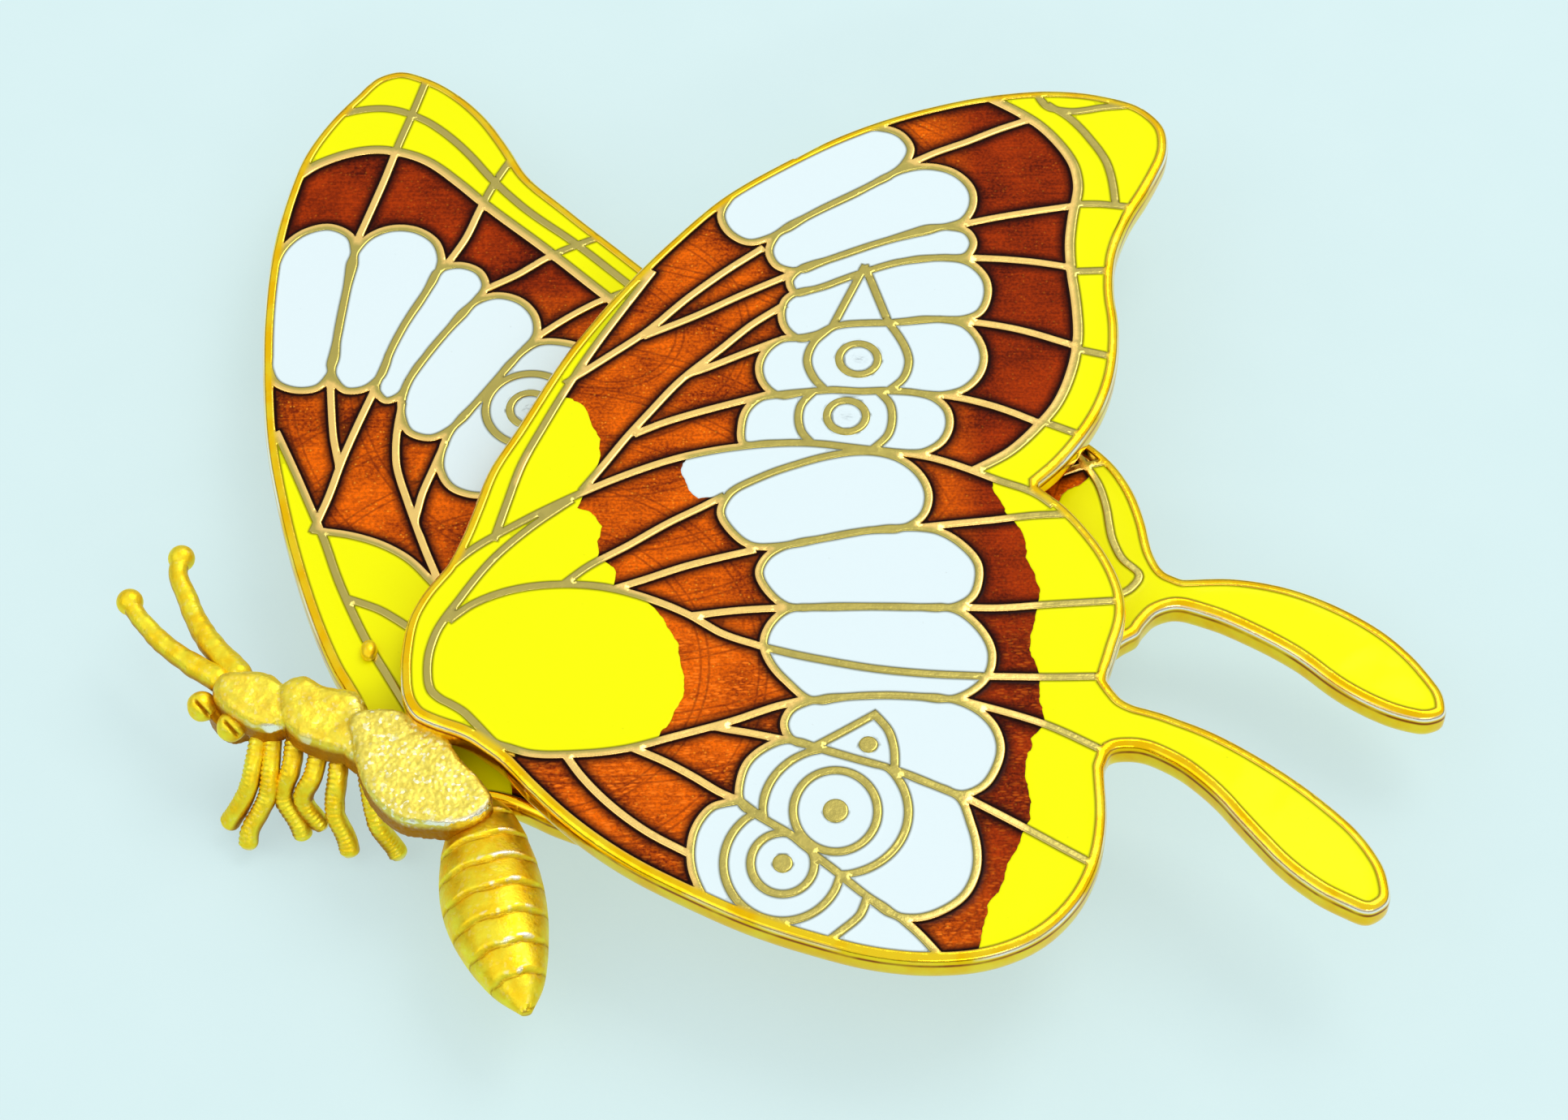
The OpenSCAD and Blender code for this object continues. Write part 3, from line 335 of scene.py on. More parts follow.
class Plate:
    """A struck plate: its outline, its cells, and search trees for both."""

    def __init__(self, node, pale, dark):
        self.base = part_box(node)[0].z / MM
        loops, self.top = flat_loops(node)
        loops = sorted(loops, key=lambda loop: -abs(area(loop)))
        self.outer = refined(loops[0])
        self.cells = [refined(loop) for loop in loops[1:] if abs(area(loop)) > LEAST_CELL]
        self.outer_tree = ribbon([self.outer])
        self.cell_tree = ribbon(self.cells)
        self.pale_tree = ribbon([loop for n in pale for loop in flat_loops(n)[0]])
        self.dark_tree = ribbon([loop for n in dark for loop in flat_loops(n)[0]])

    def build(self, name):
        """Top face with rounded rim and walls, then the side and back, then the cells' floors.

        rim is the distance to the rim, drop the depth below the top, and tint tells which enamel is near."""
        shell = Shell()
        loops = [self.outer] + self.cells
        flat, triangles, rows = fill(loops, PLATE_ROWS, PLATE_GRID)
        rim = distance(self.outer_tree, flat)
        wall = distance(self.cell_tree, flat)
        z = self.top - rounding(rim, RIM_ROUND) - rounding(wall, WALL_ROUND)
        z = z - DIP_DEPTH * np.clip(waves(flat, DIP_SIZE), 0, 1) * np.clip(wall / DIP_START, 0, 1)
        pale, dark = distance(self.pale_tree, flat), distance(self.dark_tree, flat)
        tint = np.clip(0.5 + (dark - pale) / TINT_REACH, 0, 1)
        first = shell.level(flat, z, rim=rim, tint=tint, drop=self.top - z)
        shell.sheet(triangles, first)
        self.add_side(shell, [first + n for n in rows[0]])
        self.add_floors(shell, [[first + n for n in row] for row in rows[1:]])
        return shell.object(name)

    def add_side(self, shell, upper):
        count = len(self.outer)
        turns = (math.pi / 2 * k / BACK_STEPS for k in range(BACK_STEPS))
        inset = [(BACK_INSET * (1 - math.cos(a)), BACK_ROUND * (1 - math.sin(a))) for a in turns]
        for depth, height in inset:
            loop = pushed(self.outer, depth)
            drop = self.top - self.base - height
            lower = ring(shell.level(loop, self.base + height, rim=0.0, tint=0.0, drop=drop), count)
            shell.strip(upper, lower)
            upper = lower
        flat, triangles, rows = fill([pushed(self.outer, BACK_INSET)], [], BACK_GRID)
        first = shell.level(flat, self.base, rim=2.0, tint=0.0, drop=2.0)
        shell.sheet(triangles, first, facing_up=False)
        shell.strip(upper, [first + n for n in rows[0]])

    def add_floors(self, shell, uppers):
        for loop, upper in zip(self.cells, uppers):
            flat, triangles, rows = fill([loop[::-1]], [], None)
            first = shell.level(flat, self.top - CELL_DEPTH, rim=2.0, tint=0.5, drop=0.0)
            shell.strip(upper, [first + n for n in rows[0]][::-1])
            shell.sheet(triangles, first)


# ---- Enamel ----

def ragged(loop, walls):
    """Where enamel meets enamel with no wall between, the border wanders a little."""
    away = distance(walls, loop)
    amount = np.clip((away - SWAY_START) / SWAY_FADE, 0, 1)[:, None] * BORDER_SWAY
    sway = [waves(loop, SWAY_SIZE, seed) + SMALL_SWAY * waves(loop, SMALL_SWAY_SIZE, seed + 4.0)
            for seed in (3.0, 13.0)]
    return loop + np.stack(sway, axis=1) * amount


def enamel(node, name, plate, lower=0.0):
    """Fired enamel: it climbs the walls a little and is slightly uneven."""
    loops, top = flat_loops(node)
    shell = Shell()
    for loop in loops:
        if abs(area(loop)) < LEAST_CELL:
            continue
        loop = ragged(pushed(refined(loop, STEP * 0.8), -ENAMEL_LAP), plate.cell_tree)
        flat, triangles, rows = fill([loop], ENAMEL_ROWS, ENAMEL_GRID)
        edge = distance(plate.cell_tree, flat)
        climb = ENAMEL_CLIMB * np.exp(-edge / CLIMB_REACH)
        z = top - ENAMEL_SINK - lower + climb + UNEVEN_HEIGHT * waves(flat, UNEVEN_SIZE, 5.0)
        first = shell.level(flat, z, edge=edge)
        shell.sheet(triangles, first)
        upper = [first + n for n in rows[0]]
        flat, triangles, rows = fill([loop], [], None)
        back = shell.level(flat, top - CELL_DEPTH + ENAMEL_BED, edge=0.0)
        shell.strip(upper, [back + n for n in rows[0]])
        shell.sheet(triangles, back, facing_up=False)
    return shell.object(name)


# ---- Materials ----

class Look:
    """A material with one Principled shader and short ways to feed it."""

    def __init__(self, name, **values):
        self.material = bpy.data.materials.new(name)
        self.material.use_nodes = True
        self.tree = self.material.node_tree
        self.shader = self.tree.nodes["Principled BSDF"]
        for key, value in values.items():
            self.shader.inputs[key.replace("_", " ")].default_value = value
        self.place = self.tree.nodes.new("ShaderNodeTexCoord").outputs["Object"]

    def join(self, value, socket):
        """Links a socket to another, or sets it to a constant."""
        if isinstance(value, bpy.types.NodeSocket):
            self.tree.links.new(value, socket)
        else:
            socket.default_value = value

    def node(self, kind, **values):
        node = self.tree.nodes.new("ShaderNode" + kind)
        for key, value in values.items():
            if key in ("operation", "attribute_name"):
                setattr(node, key, value)
            else:
                self.join(value, node.inputs[key.replace("_", " ")])
        return node

    def spread(self, size, stretch, turn):
        """Coordinates in which size mm is one unit."""
        mapping = self.node("Mapping", Vector=self.place, Rotation=(0, 0, turn),
                            Scale=[s / (size * MM) for s in stretch])
        return mapping.outputs[0]

    def grain(self, size, detail=2.0, stretch=(1, 1, 1), turn=0.0):
        """Noise whose features are about size mm."""
        place = self.spread(size, stretch, turn)
        return self.node("TexNoise", Vector=place, Scale=1.0, Detail=detail).outputs["Fac"]

    def cells(self, size, stretch=(1, 1, 1), turn=0.0):
        """Cells about size mm wide, each with its own value."""
        return self.node("TexVoronoi", Vector=self.spread(size, stretch, turn), Scale=1.0)

    def value(self, name):
        """A point attribute of the mesh."""
        return self.node("Attribute", attribute_name=name).outputs["Fac"]

    def scaled(self, value, low, high, to_low=0.0, to_high=1.0):
        """The value moved from one range to another, and held within it."""
        return self.node("MapRange", Value=value, From_Min=low, From_Max=high,
                         To_Min=to_low, To_Max=to_high).outputs[0]

    def math(self, operation, a, b=0.0):
        node = self.node("Math", operation=operation)
        self.join(a, node.inputs[0])
        self.join(b, node.inputs[1])
        return node.outputs[0]

    def product(self, *values):
        result = values[0]
        for value in values[1:]:
            result = self.math("MULTIPLY", result, value)
        return result

    def mix(self, factor, a, b):
        """Colour a where the factor is 0 and colour b where it is 1."""
        node = self.tree.nodes.new("ShaderNodeMix")
        node.data_type = "RGBA"
        for number, value in ((0, factor), (6, a), (7, b)):
            self.join(value, node.inputs[number])
        return node.outputs[2]

    def feed(self, name, socket):
        self.tree.links.new(socket, self.shader.inputs[name])

    def bump(self, height, depth, name="Normal"):
        """Bump whose full height is depth mm."""
        node = self.node("Bump", Height=height, Strength=1.0, Distance=depth * MM)
        self.feed(name, node.outputs[0])


def colour(r, g, b):
    """A linear colour from screen values of 0 to 255."""
    def linear(v):
        v /= 255
        return v / 12.92 if v <= 0.04045 else ((v + 0.055) / 1.055) ** 2.4
    return (linear(r), linear(g), linear(b), 1.0)


def bright_look():
    """Polished gold of the pin, the catch and the posts."""
    look = Look("bright_gold", Metallic=1.0)
    spots = look.scaled(look.grain(2.2, 3.0), 0.4, 0.62)
    look.feed("Base Color", look.mix(spots, colour(255, 206, 60), colour(250, 190, 30)))
    look.feed("Roughness", look.scaled(look.grain(0.5, 4.0), 0.3, 0.7, 0.112, 0.24))
    look.bump(look.grain(0.4, 3.0), 0.01)
    return look.material


def band(look, depth, start, full, fall, end):
    """1 where the depth lies from full to fall, fading to 0 at start and at end."""
    return look.product(look.scaled(depth, start, full), look.scaled(depth, fall, end, 1.0, 0.0))


def plate_look():
    """Struck gold: yellow rim, wires toned by the enamel beside them, a painted near-white highlight in
    patches on the rim's rounding, and a painted dark line (dark reflection and shade) just below it.
    """
    look = Look("struck_gold", Metallic=1.0)
    on_wires = look.scaled(look.value("rim"), 0.45, 0.75)
    wire = look.mix(look.value("tint"), colour(255, 214, 124), colour(190, 175, 92))
    patches = look.scaled(look.grain(1.6, 3.0), 0.4, 0.6)
    rim = look.mix(patches, colour(255, 218, 40), colour(255, 200, 14))
    gold = look.mix(on_wires, rim, wire)
    drop = look.value("drop")
    # Painted highlight: near-white colour in large patches on the rim's rounding
    worn = look.scaled(look.grain(7.0, 2.0), 0.42, 0.55)
    crest_highlight = look.product(band(look, drop, 0.1, 0.18, 0.26, 0.36), worn)
    gold = look.mix(crest_highlight, gold, colour(255, 244, 226))
    # Painted dark line just below the rounding, standing for dark reflection and shade, broken up by noise
    broken = look.scaled(look.grain(2.4, 3.0), 0.36, 0.56, 0.35, 1.0)
    line = look.product(band(look, drop, 0.36, 0.45, 0.54, 0.68), broken)
    look.feed("Base Color", look.mix(line, gold, colour(150, 72, 8)))
    polish = look.scaled(look.grain(0.6, 4.0), 0.3, 0.7, 0.08, 0.17)
    wire_haze = look.scaled(look.value("rim"), 0.45, 0.75, 0.0, 0.1)
    look.feed("Roughness", look.math("ADD", polish, wire_haze))
    look.bump(look.grain(0.35, 4.0), 0.012)
    return look.material


def opaque_look(name, base, edge):
    """Opaque enamel: even colour, a thin line of painted shade at the walls, small random darker specks and
    a wet gloss.
    """
    look = Look(name, Roughness=0.35, Specular_IOR_Level=0.05, Coat_Weight=0.07, Coat_Roughness=0.06)
    # Painted shade: a thin dark line where the enamel meets the walls; shade also holds the random darker
    # specks, which share its colour
    wall_shade = look.scaled(look.value("edge"), 0.02, 0.12, 1.0, 0.0)
    speck = look.scaled(look.grain(0.25, 4.0), 0.72, 0.8, 0.0, 0.25)
    shade = look.math("MAXIMUM", look.product(wall_shade, 0.8), speck)
    look.feed("Base Color", look.mix(shade, base, edge))
    look.bump(look.grain(1.6, 2.0), 0.01, name="Coat Normal")
    look.bump(look.grain(0.2, 3.0), 0.004)
    return look.material


# Centres, in drawing mm, and spacing of the rings cut into the metal beneath the brown
TURNED_RINGS = [(-13.5, -9.0, 3.1), (-9.5, 13.5, 3.7)]
# Half the distance between the two lines of a ring, and the half widths of a line's core and fade
RING_GAP = 0.22
RING_CORE = 0.02
RING_FADE = 0.1


def turned_rings(look):
    """Faint double rings cut by an engine, seen as 0 to 1 lines."""
    lines = 0.0
    for x, y, pitch in TURNED_RINGS:
        offset = [-(x + SHIFT[0]) * MM, -(y + SHIFT[1]) * MM, 0]
        away = look.node("Mapping", Vector=look.place, Location=offset)
        flat = look.node("VectorMath", operation="MULTIPLY", Vector=away.outputs[0])
        flat.inputs[1].default_value = (1, 1, 0)
        length = look.node("VectorMath", operation="LENGTH", Vector=flat.outputs[0])
        ripple = look.math("PINGPONG", length.outputs["Value"], pitch / 2 * MM)
        near = look.math("ABSOLUTE", look.math("SUBTRACT", ripple, RING_GAP * MM))
        line = look.scaled(near, RING_CORE * MM, RING_FADE * MM, 1.0, 0.0)
        lines = look.math("MAXIMUM", line, lines)
    return lines


def brown_ground(look, streaks, spark):
    """The metal seen through the brown: cloudy, with painted glints, short dashes and turned rings."""
    warm = look.value("warm")
    glow = look.mix(warm, colour(172, 54, 0), colour(246, 108, 0))
    deep = look.mix(warm, colour(78, 14, 0), colour(120, 34, 0))
    clouds = look.product(look.scaled(look.grain(2.6, 3.0), 0.35, 0.62), 0.5)
    tone = look.math("ADD", look.product(look.scaled(streaks, 0.4, 0.6), 0.5), clouds)
    ground = look.mix(tone, deep, glow)
    # Painted glints: bright orange specks standing for light caught by the metal under the brown, more where
    # it is warm
    painted_glint = look.product(look.scaled(spark.outputs["Color"], 0.76, 0.88),
                         look.scaled(warm, 0, 1, 0.15, 0.6),
                         look.scaled(spark.outputs["Distance"], 0.25, 0.5, 1.0, 0.0))
    ground = look.mix(painted_glint, ground, colour(250, 160, 40))
    dashes = look.cells(0.24, (0.55, 1.5, 1.0), math.radians(-28))
    dash = look.product(look.scaled(dashes.outputs["Color"], 0.35, 0.7),
                        look.scaled(dashes.outputs["Distance"], 0.3, 0.55, 1.0, 0.0),
                        look.value("dashes"))
    ground = look.mix(dash, ground, colour(246, 118, 20))
    arcs = look.product(turned_rings(look), look.scaled(warm, 0.4, 1.0, 0.12, 0.5))
    return look.mix(arcs, ground, colour(96, 24, 2))


def brown_look():
    """Translucent brown over an engine-turned ground, with painted shade that makes it darkest beside the
    walls.
    """
    look = Look("brown_enamel", Specular_IOR_Level=0.03, Coat_Weight=0.05, Coat_Roughness=0.04)
    brushed = look.grain(0.2, 3.0, (0.1, 1.6, 1), math.radians(38))
    speckled = look.grain(0.17, 4.0)
    streaks = look.math("ADD", look.product(brushed, 0.35), look.product(speckled, 0.65))
    spark = look.cells(0.16)
    ground = brown_ground(look, streaks, spark)
    # Painted shade: near-black brown beside the walls, clearing to the ground towards the middle of each
    # cell
    clear_of_wall_shade = look.scaled(look.value("edge"), 0.1, 0.62)
    look.feed("Base Color", look.mix(clear_of_wall_shade, colour(26, 2, 0), ground))
    look.feed("Roughness", look.scaled(streaks, 0.3, 0.7, 0.32, 0.5))
    look.bump(look.math("ADD", streaks, look.product(spark.outputs["Distance"], 0.5)), 0.02)
    look.bump(look.grain(1.8, 2.0), 0.01, name="Coat Normal")
    return look.material


def dress(piece, node, material):
    """Finishes a piece that stands for a CAD node."""
    piece.data.materials.clear()
    piece.data.materials.append(material)
    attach(piece, body)
    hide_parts(node)


# ---- Wings ----

# The enamels of each plate, by wing and colour
ENAMELS = {
    "front": ["forewing_white", "forewing_yellow", "forewing_brown",
              "hindwing_white", "hindwing_yellow", "hindwing_brown"],
    "rear": ["forewing_white", "forewing_yellow", "forewing_brown", "hindwing_yellow", "hindwing_brown"]}
looks = {
    # For white and yellow: body colour, then the colour of the painted wall shade and of the specks
    "white": opaque_look("white_enamel", colour(221, 236, 240), colour(104, 110, 90)),
    "yellow": opaque_look("yellow_enamel", colour(243, 242, 0), colour(112, 112, 6)),
    "brown": brown_look()}
gold = plate_look()
bright = bright_look()

# Where the dark margins begin and how wide they fade: along x in front, along y behind
FRONT_MARGIN = 8.0
FRONT_FADE = 3.0
REAR_MARGIN = 15.0
REAR_FADE = 4.0
# The ground has dashes where y is below this, over a fade of this width
DASHES_BELOW = -4.0
DASHES_FADE = 4.0


def set_value(piece, name, value):
    """Gives every point of a piece a value for its material."""
    piece.data.attributes.new(name, "FLOAT", "POINT").data.foreach_set("value", value.astype(np.float32))


def add_warmth(piece, side):
    """The brown is warm near the body and dark along the wing margins."""
    place = np.array([v.co for v in piece.data.vertices]) / MM - SHIFT
    margin = np.clip((place[:, 0] - FRONT_MARGIN) / FRONT_FADE, 0, 1)
    if side == "rear":
        margin = np.clip((place[:, 1] - REAR_MARGIN) / REAR_FADE, 0, 1)
    dashes = np.clip((DASHES_BELOW - place[:, 1]) / DASHES_FADE, 0, 1) * (0.3 + 0.7 * (1 - margin))
    set_value(piece, "warm", 1 - margin)
    set_value(piece, "dashes", dashes)


def build_wings(side, cells):
    """One plate and the enamels fired into it."""
    kinds = {f"{side}_{cell}_enamel": cell.split("_")[1] for cell in cells}
    pale = [node for node, kind in kinds.items() if kind != "brown"]
    dark = [node for node, kind in kinds.items() if kind == "brown"]
    plate_node = side + "_wing_plate"
    plate = Plate(plate_node, pale, dark)
    dress(plate.build(plate_node + "_struck"), plate_node, gold)
    for node, kind in kinds.items():
        brown = kind == "brown"
        piece = enamel(node, node.replace("enamel", "fired"), plate, BROWN_SINK if brown else 0.0)
        if brown:
            add_warmth(piece, side)
        dress(piece, node, looks[kind])


for side, cells in ENAMELS.items():
    build_wings(side, cells)


# ---- Cast body ----

def remeshed(rough, voxel, relax):
    """The solids of an object fused into one fine, smooth skin; also its points in mm and their normals."""
    remesh = rough.modifiers.new("skin", "REMESH")
    remesh.mode = "VOXEL"
    remesh.voxel_size = voxel * MM
    smooth = rough.modifiers.new("relax", "SMOOTH")
    smooth.factor = 0.5
    smooth.iterations = relax
    skin = bpy.data.meshes.new_from_object(rough.evaluated_get(bpy.context.evaluated_depsgraph_get()))
    piece = bpy.data.objects.new(rough.name + "_skin", skin)
    bpy.data.objects.remove(rough)
    skin.shade_smooth()
    bpy.context.scene.collection.objects.link(piece)
    points = np.array([v.co for v in skin.vertices]) / MM
    normals = np.array([v.normal for v in skin.vertices])
    return piece, points, normals


def set_points(piece, points):
    """Moves the points of a piece to places in mm."""
    piece.data.vertices.foreach_set("co", (points * MM).astype(np.float32).ravel())
    piece.data.update()


def pebbles(points, size):
    """0 between the grains of a stippled surface, 1 on top of them."""
    nearest = [noise.voronoi(tuple(p / size))[0][0] for p in points]
    return 1 - np.clip(np.array(nearest), 0, 1)


THORAX_FLOOR = 3.4
LOBE_THICKNESS = 1.9
# A smaller lump beneath each lobe reaches down to the floor of the thorax
KEEL_SCALE = 0.55
KEEL_DROP = 1.2
KEEL_ROUND = 0.3
KEEL_SHIFT = (0.0, 0.5)
PILLOW_ROWS = [0.1, 0.25, 0.5, 0.8]
PILLOW_GRID = 0.4
# Fineness of the fused skin, and how often it is smoothed
SKIN_VOXEL = 0.08
SKIN_SMOOTHING = 3
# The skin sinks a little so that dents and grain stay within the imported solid
SKIN_SINK = 0.05
DENT_DEPTH = 0.07
DENT_SIZE = 1.3
SMALL_DENT_DEPTH = 0.04
SMALL_DENT_SIZE = 0.5
FINE_GRAIN_HEIGHT = 0.03
FINE_GRAIN_SIZE = 0.2
COARSE_GRAIN_HEIGHT = 0.06
COARSE_GRAIN_SIZE = 0.26
# The coarse grain of the rear lobe starts here along x and fades in over this length
COARSE_START = -23.3
COARSE_LENGTH = 0.5
# Where head, middle and rear lobe meet along x, their tops, and where below a top the painted shade starts
# and over what depth it fades in
LOBE_JOINTS = [-26.6, -22.4]
LOBE_TOPS = [7.1, 7.4, 7.7]
SHADE_START = 0.45
SHADE_FADE = 0.5

# Each lobe of head and thorax, then the bridges between lobes: outline in drawing mm, top, edge radius
LOBES = [
    ([(-31.0, -9.4), (-30.1, -9.0), (-28.9, -10.2), (-28.6, -10.9), (-29.5, -11.2), (-30.6, -10.4)],
     6.1, 0.6),
    ([(-30.6, -9.3), (-30.2, -10.1), (-29.1, -11.0), (-28.1, -11.6), (-27.1, -11.7), (-26.4, -11.2),
      (-26.4, -9.6), (-27.3, -8.2), (-28.8, -7.9), (-30.4, -8.3)], 7.1, 0.8),
    ([(-26.7, -8.8), (-26.7, -11.4), (-25.9, -12.3), (-25.0, -12.8), (-24.0, -13.2), (-22.7, -13.1),
      (-22.1, -12.1), (-22.1, -10.7), (-22.7, -9.6), (-24.6, -9.0), (-25.7, -8.4)], 7.4, 0.8),
    ([(-23.0, -11.4), (-22.8, -13.2), (-22.4, -14.8), (-21.8, -16.1), (-21.0, -17.1), (-20.1, -17.8),
      (-18.6, -18.1), (-16.8, -18.1), (-15.8, -17.5), (-15.3, -16.7), (-15.8, -15.6), (-17.0, -14.1),
      (-18.0, -12.5), (-20.0, -11.2), (-21.6, -10.9)], 7.7, 0.4),
    ([(-28.0, -9.0), (-27.6, -10.9), (-26.3, -11.3), (-25.2, -10.8), (-25.2, -9.4), (-26.4, -8.9)],
     6.9, 0.5),
    ([(-24.0, -10.2), (-23.8, -12.5), (-22.6, -13.8), (-21.3, -13.4), (-21.0, -11.8), (-22.3, -10.5)],
     7.2, 0.5)]


def add_pillow(shell, loop, top, radius, floor):
    """A lump with a flat top, a rounded edge and upright sides."""
    flat, triangles, rows = fill([loop], PILLOW_ROWS, PILLOW_GRID)
    first = shell.level(flat, top - rounding(distance(ribbon([loop]), flat), radius))
    shell.sheet(triangles, first)
    low, triangles, low_rows = fill([loop], [], None)
    back = shell.level(low, floor)
    shell.strip([first + n for n in rows[0]], [back + n for n in low_rows[0]])
    shell.sheet(triangles, back, facing_up=False)


def build_thorax():
    """Lobes fused over shallow bridges: fine grain on the head, coarse stipple on the rear lobe, painted
    shade low on each lobe and a painted highlight on skin facing front and right.
    """
    shell = Shell()
    for outline, top, radius in LOBES:
        loop = refined(np.array(outline) + SHIFT[:2], corner=80)
        add_pillow(shell, loop, top, radius, top - LOBE_THICKNESS)
        keel = loop.mean(axis=0) + (loop - loop.mean(axis=0)) * KEEL_SCALE + KEEL_SHIFT
        add_pillow(shell, keel, top - KEEL_DROP, KEEL_ROUND, THORAX_FLOOR)
    piece, points, normals = remeshed(shell.object("thorax_and_head"), SKIN_VOXEL, SKIN_SMOOTHING)
    place = points - SHIFT
    coarse = np.clip((place[:, 0] - COARSE_START) / COARSE_LENGTH, 0, 1)
    # Skin that faces front and right, towards the front lamp, for the painted highlight below
    front = np.clip(-normals[:, 1] * 0.7 + normals[:, 0] * 0.5 - 0.1, 0, 1) * (normals[:, 2] > 0.1)
    dents = DENT_DEPTH * waves(points, DENT_SIZE) + SMALL_DENT_DEPTH * waves(points, SMALL_DENT_SIZE, 4.0)
    grain = FINE_GRAIN_HEIGHT * pebbles(points, FINE_GRAIN_SIZE)
    grain = grain + COARSE_GRAIN_HEIGHT * pebbles(points, COARSE_GRAIN_SIZE) * coarse
    set_points(piece, points + normals * (dents * (1 - 0.5 * coarse) + grain - SKIN_SINK)[:, None])
    set_value(piece, "frost", 0.4 + 0.6 * coarse)
    tops = np.array(LOBE_TOPS)[np.searchsorted(LOBE_JOINTS, place[:, 0], side="right")]
    # Painted shade: the gold darkens below each lobe's top
    set_value(piece, "deep", np.clip((tops - SHADE_START - place[:, 2]) / SHADE_FADE, 0, 1))
    # Painted highlight on the skin that faces front and right, in patches
    set_value(piece, "worn", np.clip(front * 1.6, 0, 1) * np.clip(waves(points, 0.8, 9.0) * 4, 0, 1))
    return piece


def around(count):
    """Angles evenly spaced around a circle."""
    return np.arange(count) * 2 * math.pi / count


def along(path, step):
    """Points on a smooth curve through the rows of a path, any number of columns wide."""
    path = np.asarray(path, float)
    ends = np.vstack([2 * path[0] - path[1], path, 2 * path[-1] - path[-2]])
    out = []
    for a, b, c, d in zip(ends, ends[1:], ends[2:], ends[3:]):
        count = max(2, round(np.linalg.norm(c[:3] - b[:3]) / step))
        for u in np.arange(count) / count:
            out.append(b + 0.5 * u * (c - a + u * (2 * a - 5 * b + 4 * c - d + u * (3 * (b - c) + d - a))))
    return np.vstack([out, path[-1]])


# Legs and antennae: how much thicker than their drawn radius, points around, distance between rings
BAR_SWELL = 1.22
BAR_SIDES = 22
BAR_STEP = 0.07
BAR_LUMPS = 0.07
BAR_LUMP_SIZE = 0.55
# Length of one notch on a leg, and its depth as a part of the radius
NOTCH_LENGTH = 0.27
LEG_NOTCH = 0.2


def add_bar(shell, path, notch, seed):
    """A round bar along a path of (x, y, z, radius), with domed ends, notched sides, painted shade on its
    sides and underside and a painted highlight near its last point.
    """
    rows = along(path, BAR_STEP)
    rows[:, 3] *= BAR_SWELL
    centres = rows[:, :3] + SHIFT
    ahead = unit(np.gradient(centres, axis=0))
    side = unit(np.cross(ahead, (0.0, 0.0, 1.0)))
    over = np.cross(side, ahead)
    travel = np.concatenate([[0], np.cumsum(np.linalg.norm(np.diff(centres, axis=0), axis=1))])
    from_end = np.minimum(travel, travel[-1] - travel)
    dome_in = np.sqrt(np.clip(1 - (1 - np.clip(from_end / rows[:, 3], 0, 1)) ** 2, 0, 1))
    angles = around(BAR_SIDES)
    rings = []
    for c, s, o, r, t, d in zip(centres, side, over, rows[:, 3], travel, dome_in):
        teeth = abs(math.sin(math.pi * t / NOTCH_LENGTH + seed)) - 0.5
        bumps = 1 + notch * teeth * np.clip(np.cos(angles - 0.5) - 0.2, 0, 1)
        bumps = bumps + BAR_LUMPS * waves(c + np.outer(np.cos(angles), s) * r, BAR_LUMP_SIZE, seed)
        radius = np.maximum(r * d, 0.02) * bumps
        points = c + np.outer(radius * np.cos(angles), s) + np.outer(radius * np.sin(angles), o)
        # Painted highlight that fades in over the last 0.5 mm of the bar
        worn = max(0.0, 0.5 - (travel[-1] - t))
        # Painted shade on the bar's sides and underside
        deep = np.clip(1.2 - np.sin(angles) * 2.2, 0, 1) * 0.9
        rings.append(ring(shell.add(points, frost=0.1, worn=worn, deep=deep), BAR_SIDES))
    shell.tube(rings)


# Root, bends and end of each antenna as (x, y, z, radius)
ANTENNAE = [
    [(-29.9, -8.4, 5.9, 0.62), (-30.9, -7.7, 5.8, 0.56), (-32.1, -6.8, 5.7, 0.52), (-33.6, -5.5, 5.6, 0.47),
     (-34.8, -4.1, 5.6, 0.43), (-35.4, -3.2, 5.6, 0.42), (-35.6, -2.8, 5.6, 0.42)],
    [(-28.9, -8.3, 5.9, 0.66), (-29.8, -7.1, 5.8, 0.6), (-31.0, -5.6, 5.7, 0.55), (-31.9, -4.0, 5.6, 0.5),
     (-32.6, -2.3, 5.6, 0.46), (-33.1, -1.0, 5.6, 0.43), (-33.0, 0.1, 5.6, 0.43)]]
ANTENNA_BALL = 0.74

# Root, bends and foot of each leg as (x, y, z, radius), from the head backwards
LEGS = [
    [(-28.0, -10.6, 5.3, 0.4), (-28.3, -12.3, 4.5, 0.42), (-28.8, -13.5, 3.0, 0.42),
     (-30.0, -14.3, 0.9, 0.46)],
    [(-27.3, -10.8, 5.3, 0.4), (-27.4, -12.5, 4.5, 0.42), (-27.7, -13.8, 3.0, 0.42),
     (-28.6, -14.8, 1.6, 0.42), (-28.8, -15.5, 0.6, 0.44)],
    [(-26.1, -11.0, 5.3, 0.42), (-26.3, -12.7, 4.5, 0.44), (-26.8, -13.6, 3.0, 0.44),
     (-26.0, -14.6, 1.6, 0.44), (-25.8, -15.0, 0.8, 0.47)],
    [(-24.7, -11.5, 5.3, 0.42), (-25.1, -13.2, 4.5, 0.44), (-25.7, -13.9, 3.2, 0.44),
     (-25.1, -14.4, 2.0, 0.44), (-24.6, -14.6, 1.4, 0.46)],
    [(-23.6, -11.6, 5.3, 0.42), (-23.8, -13.2, 4.5, 0.44), (-24.0, -14.5, 2.8, 0.44),
     (-23.4, -15.4, 1.4, 0.44), (-23.3, -16.0, 0.6, 0.47)],
    [(-22.4, -12.3, 5.3, 0.42), (-22.1, -13.9, 4.5, 0.44), (-21.7, -15.2, 2.8, 0.44),
     (-20.9, -15.7, 1.2, 0.44), (-20.5, -16.1, 0.6, 0.47)]]


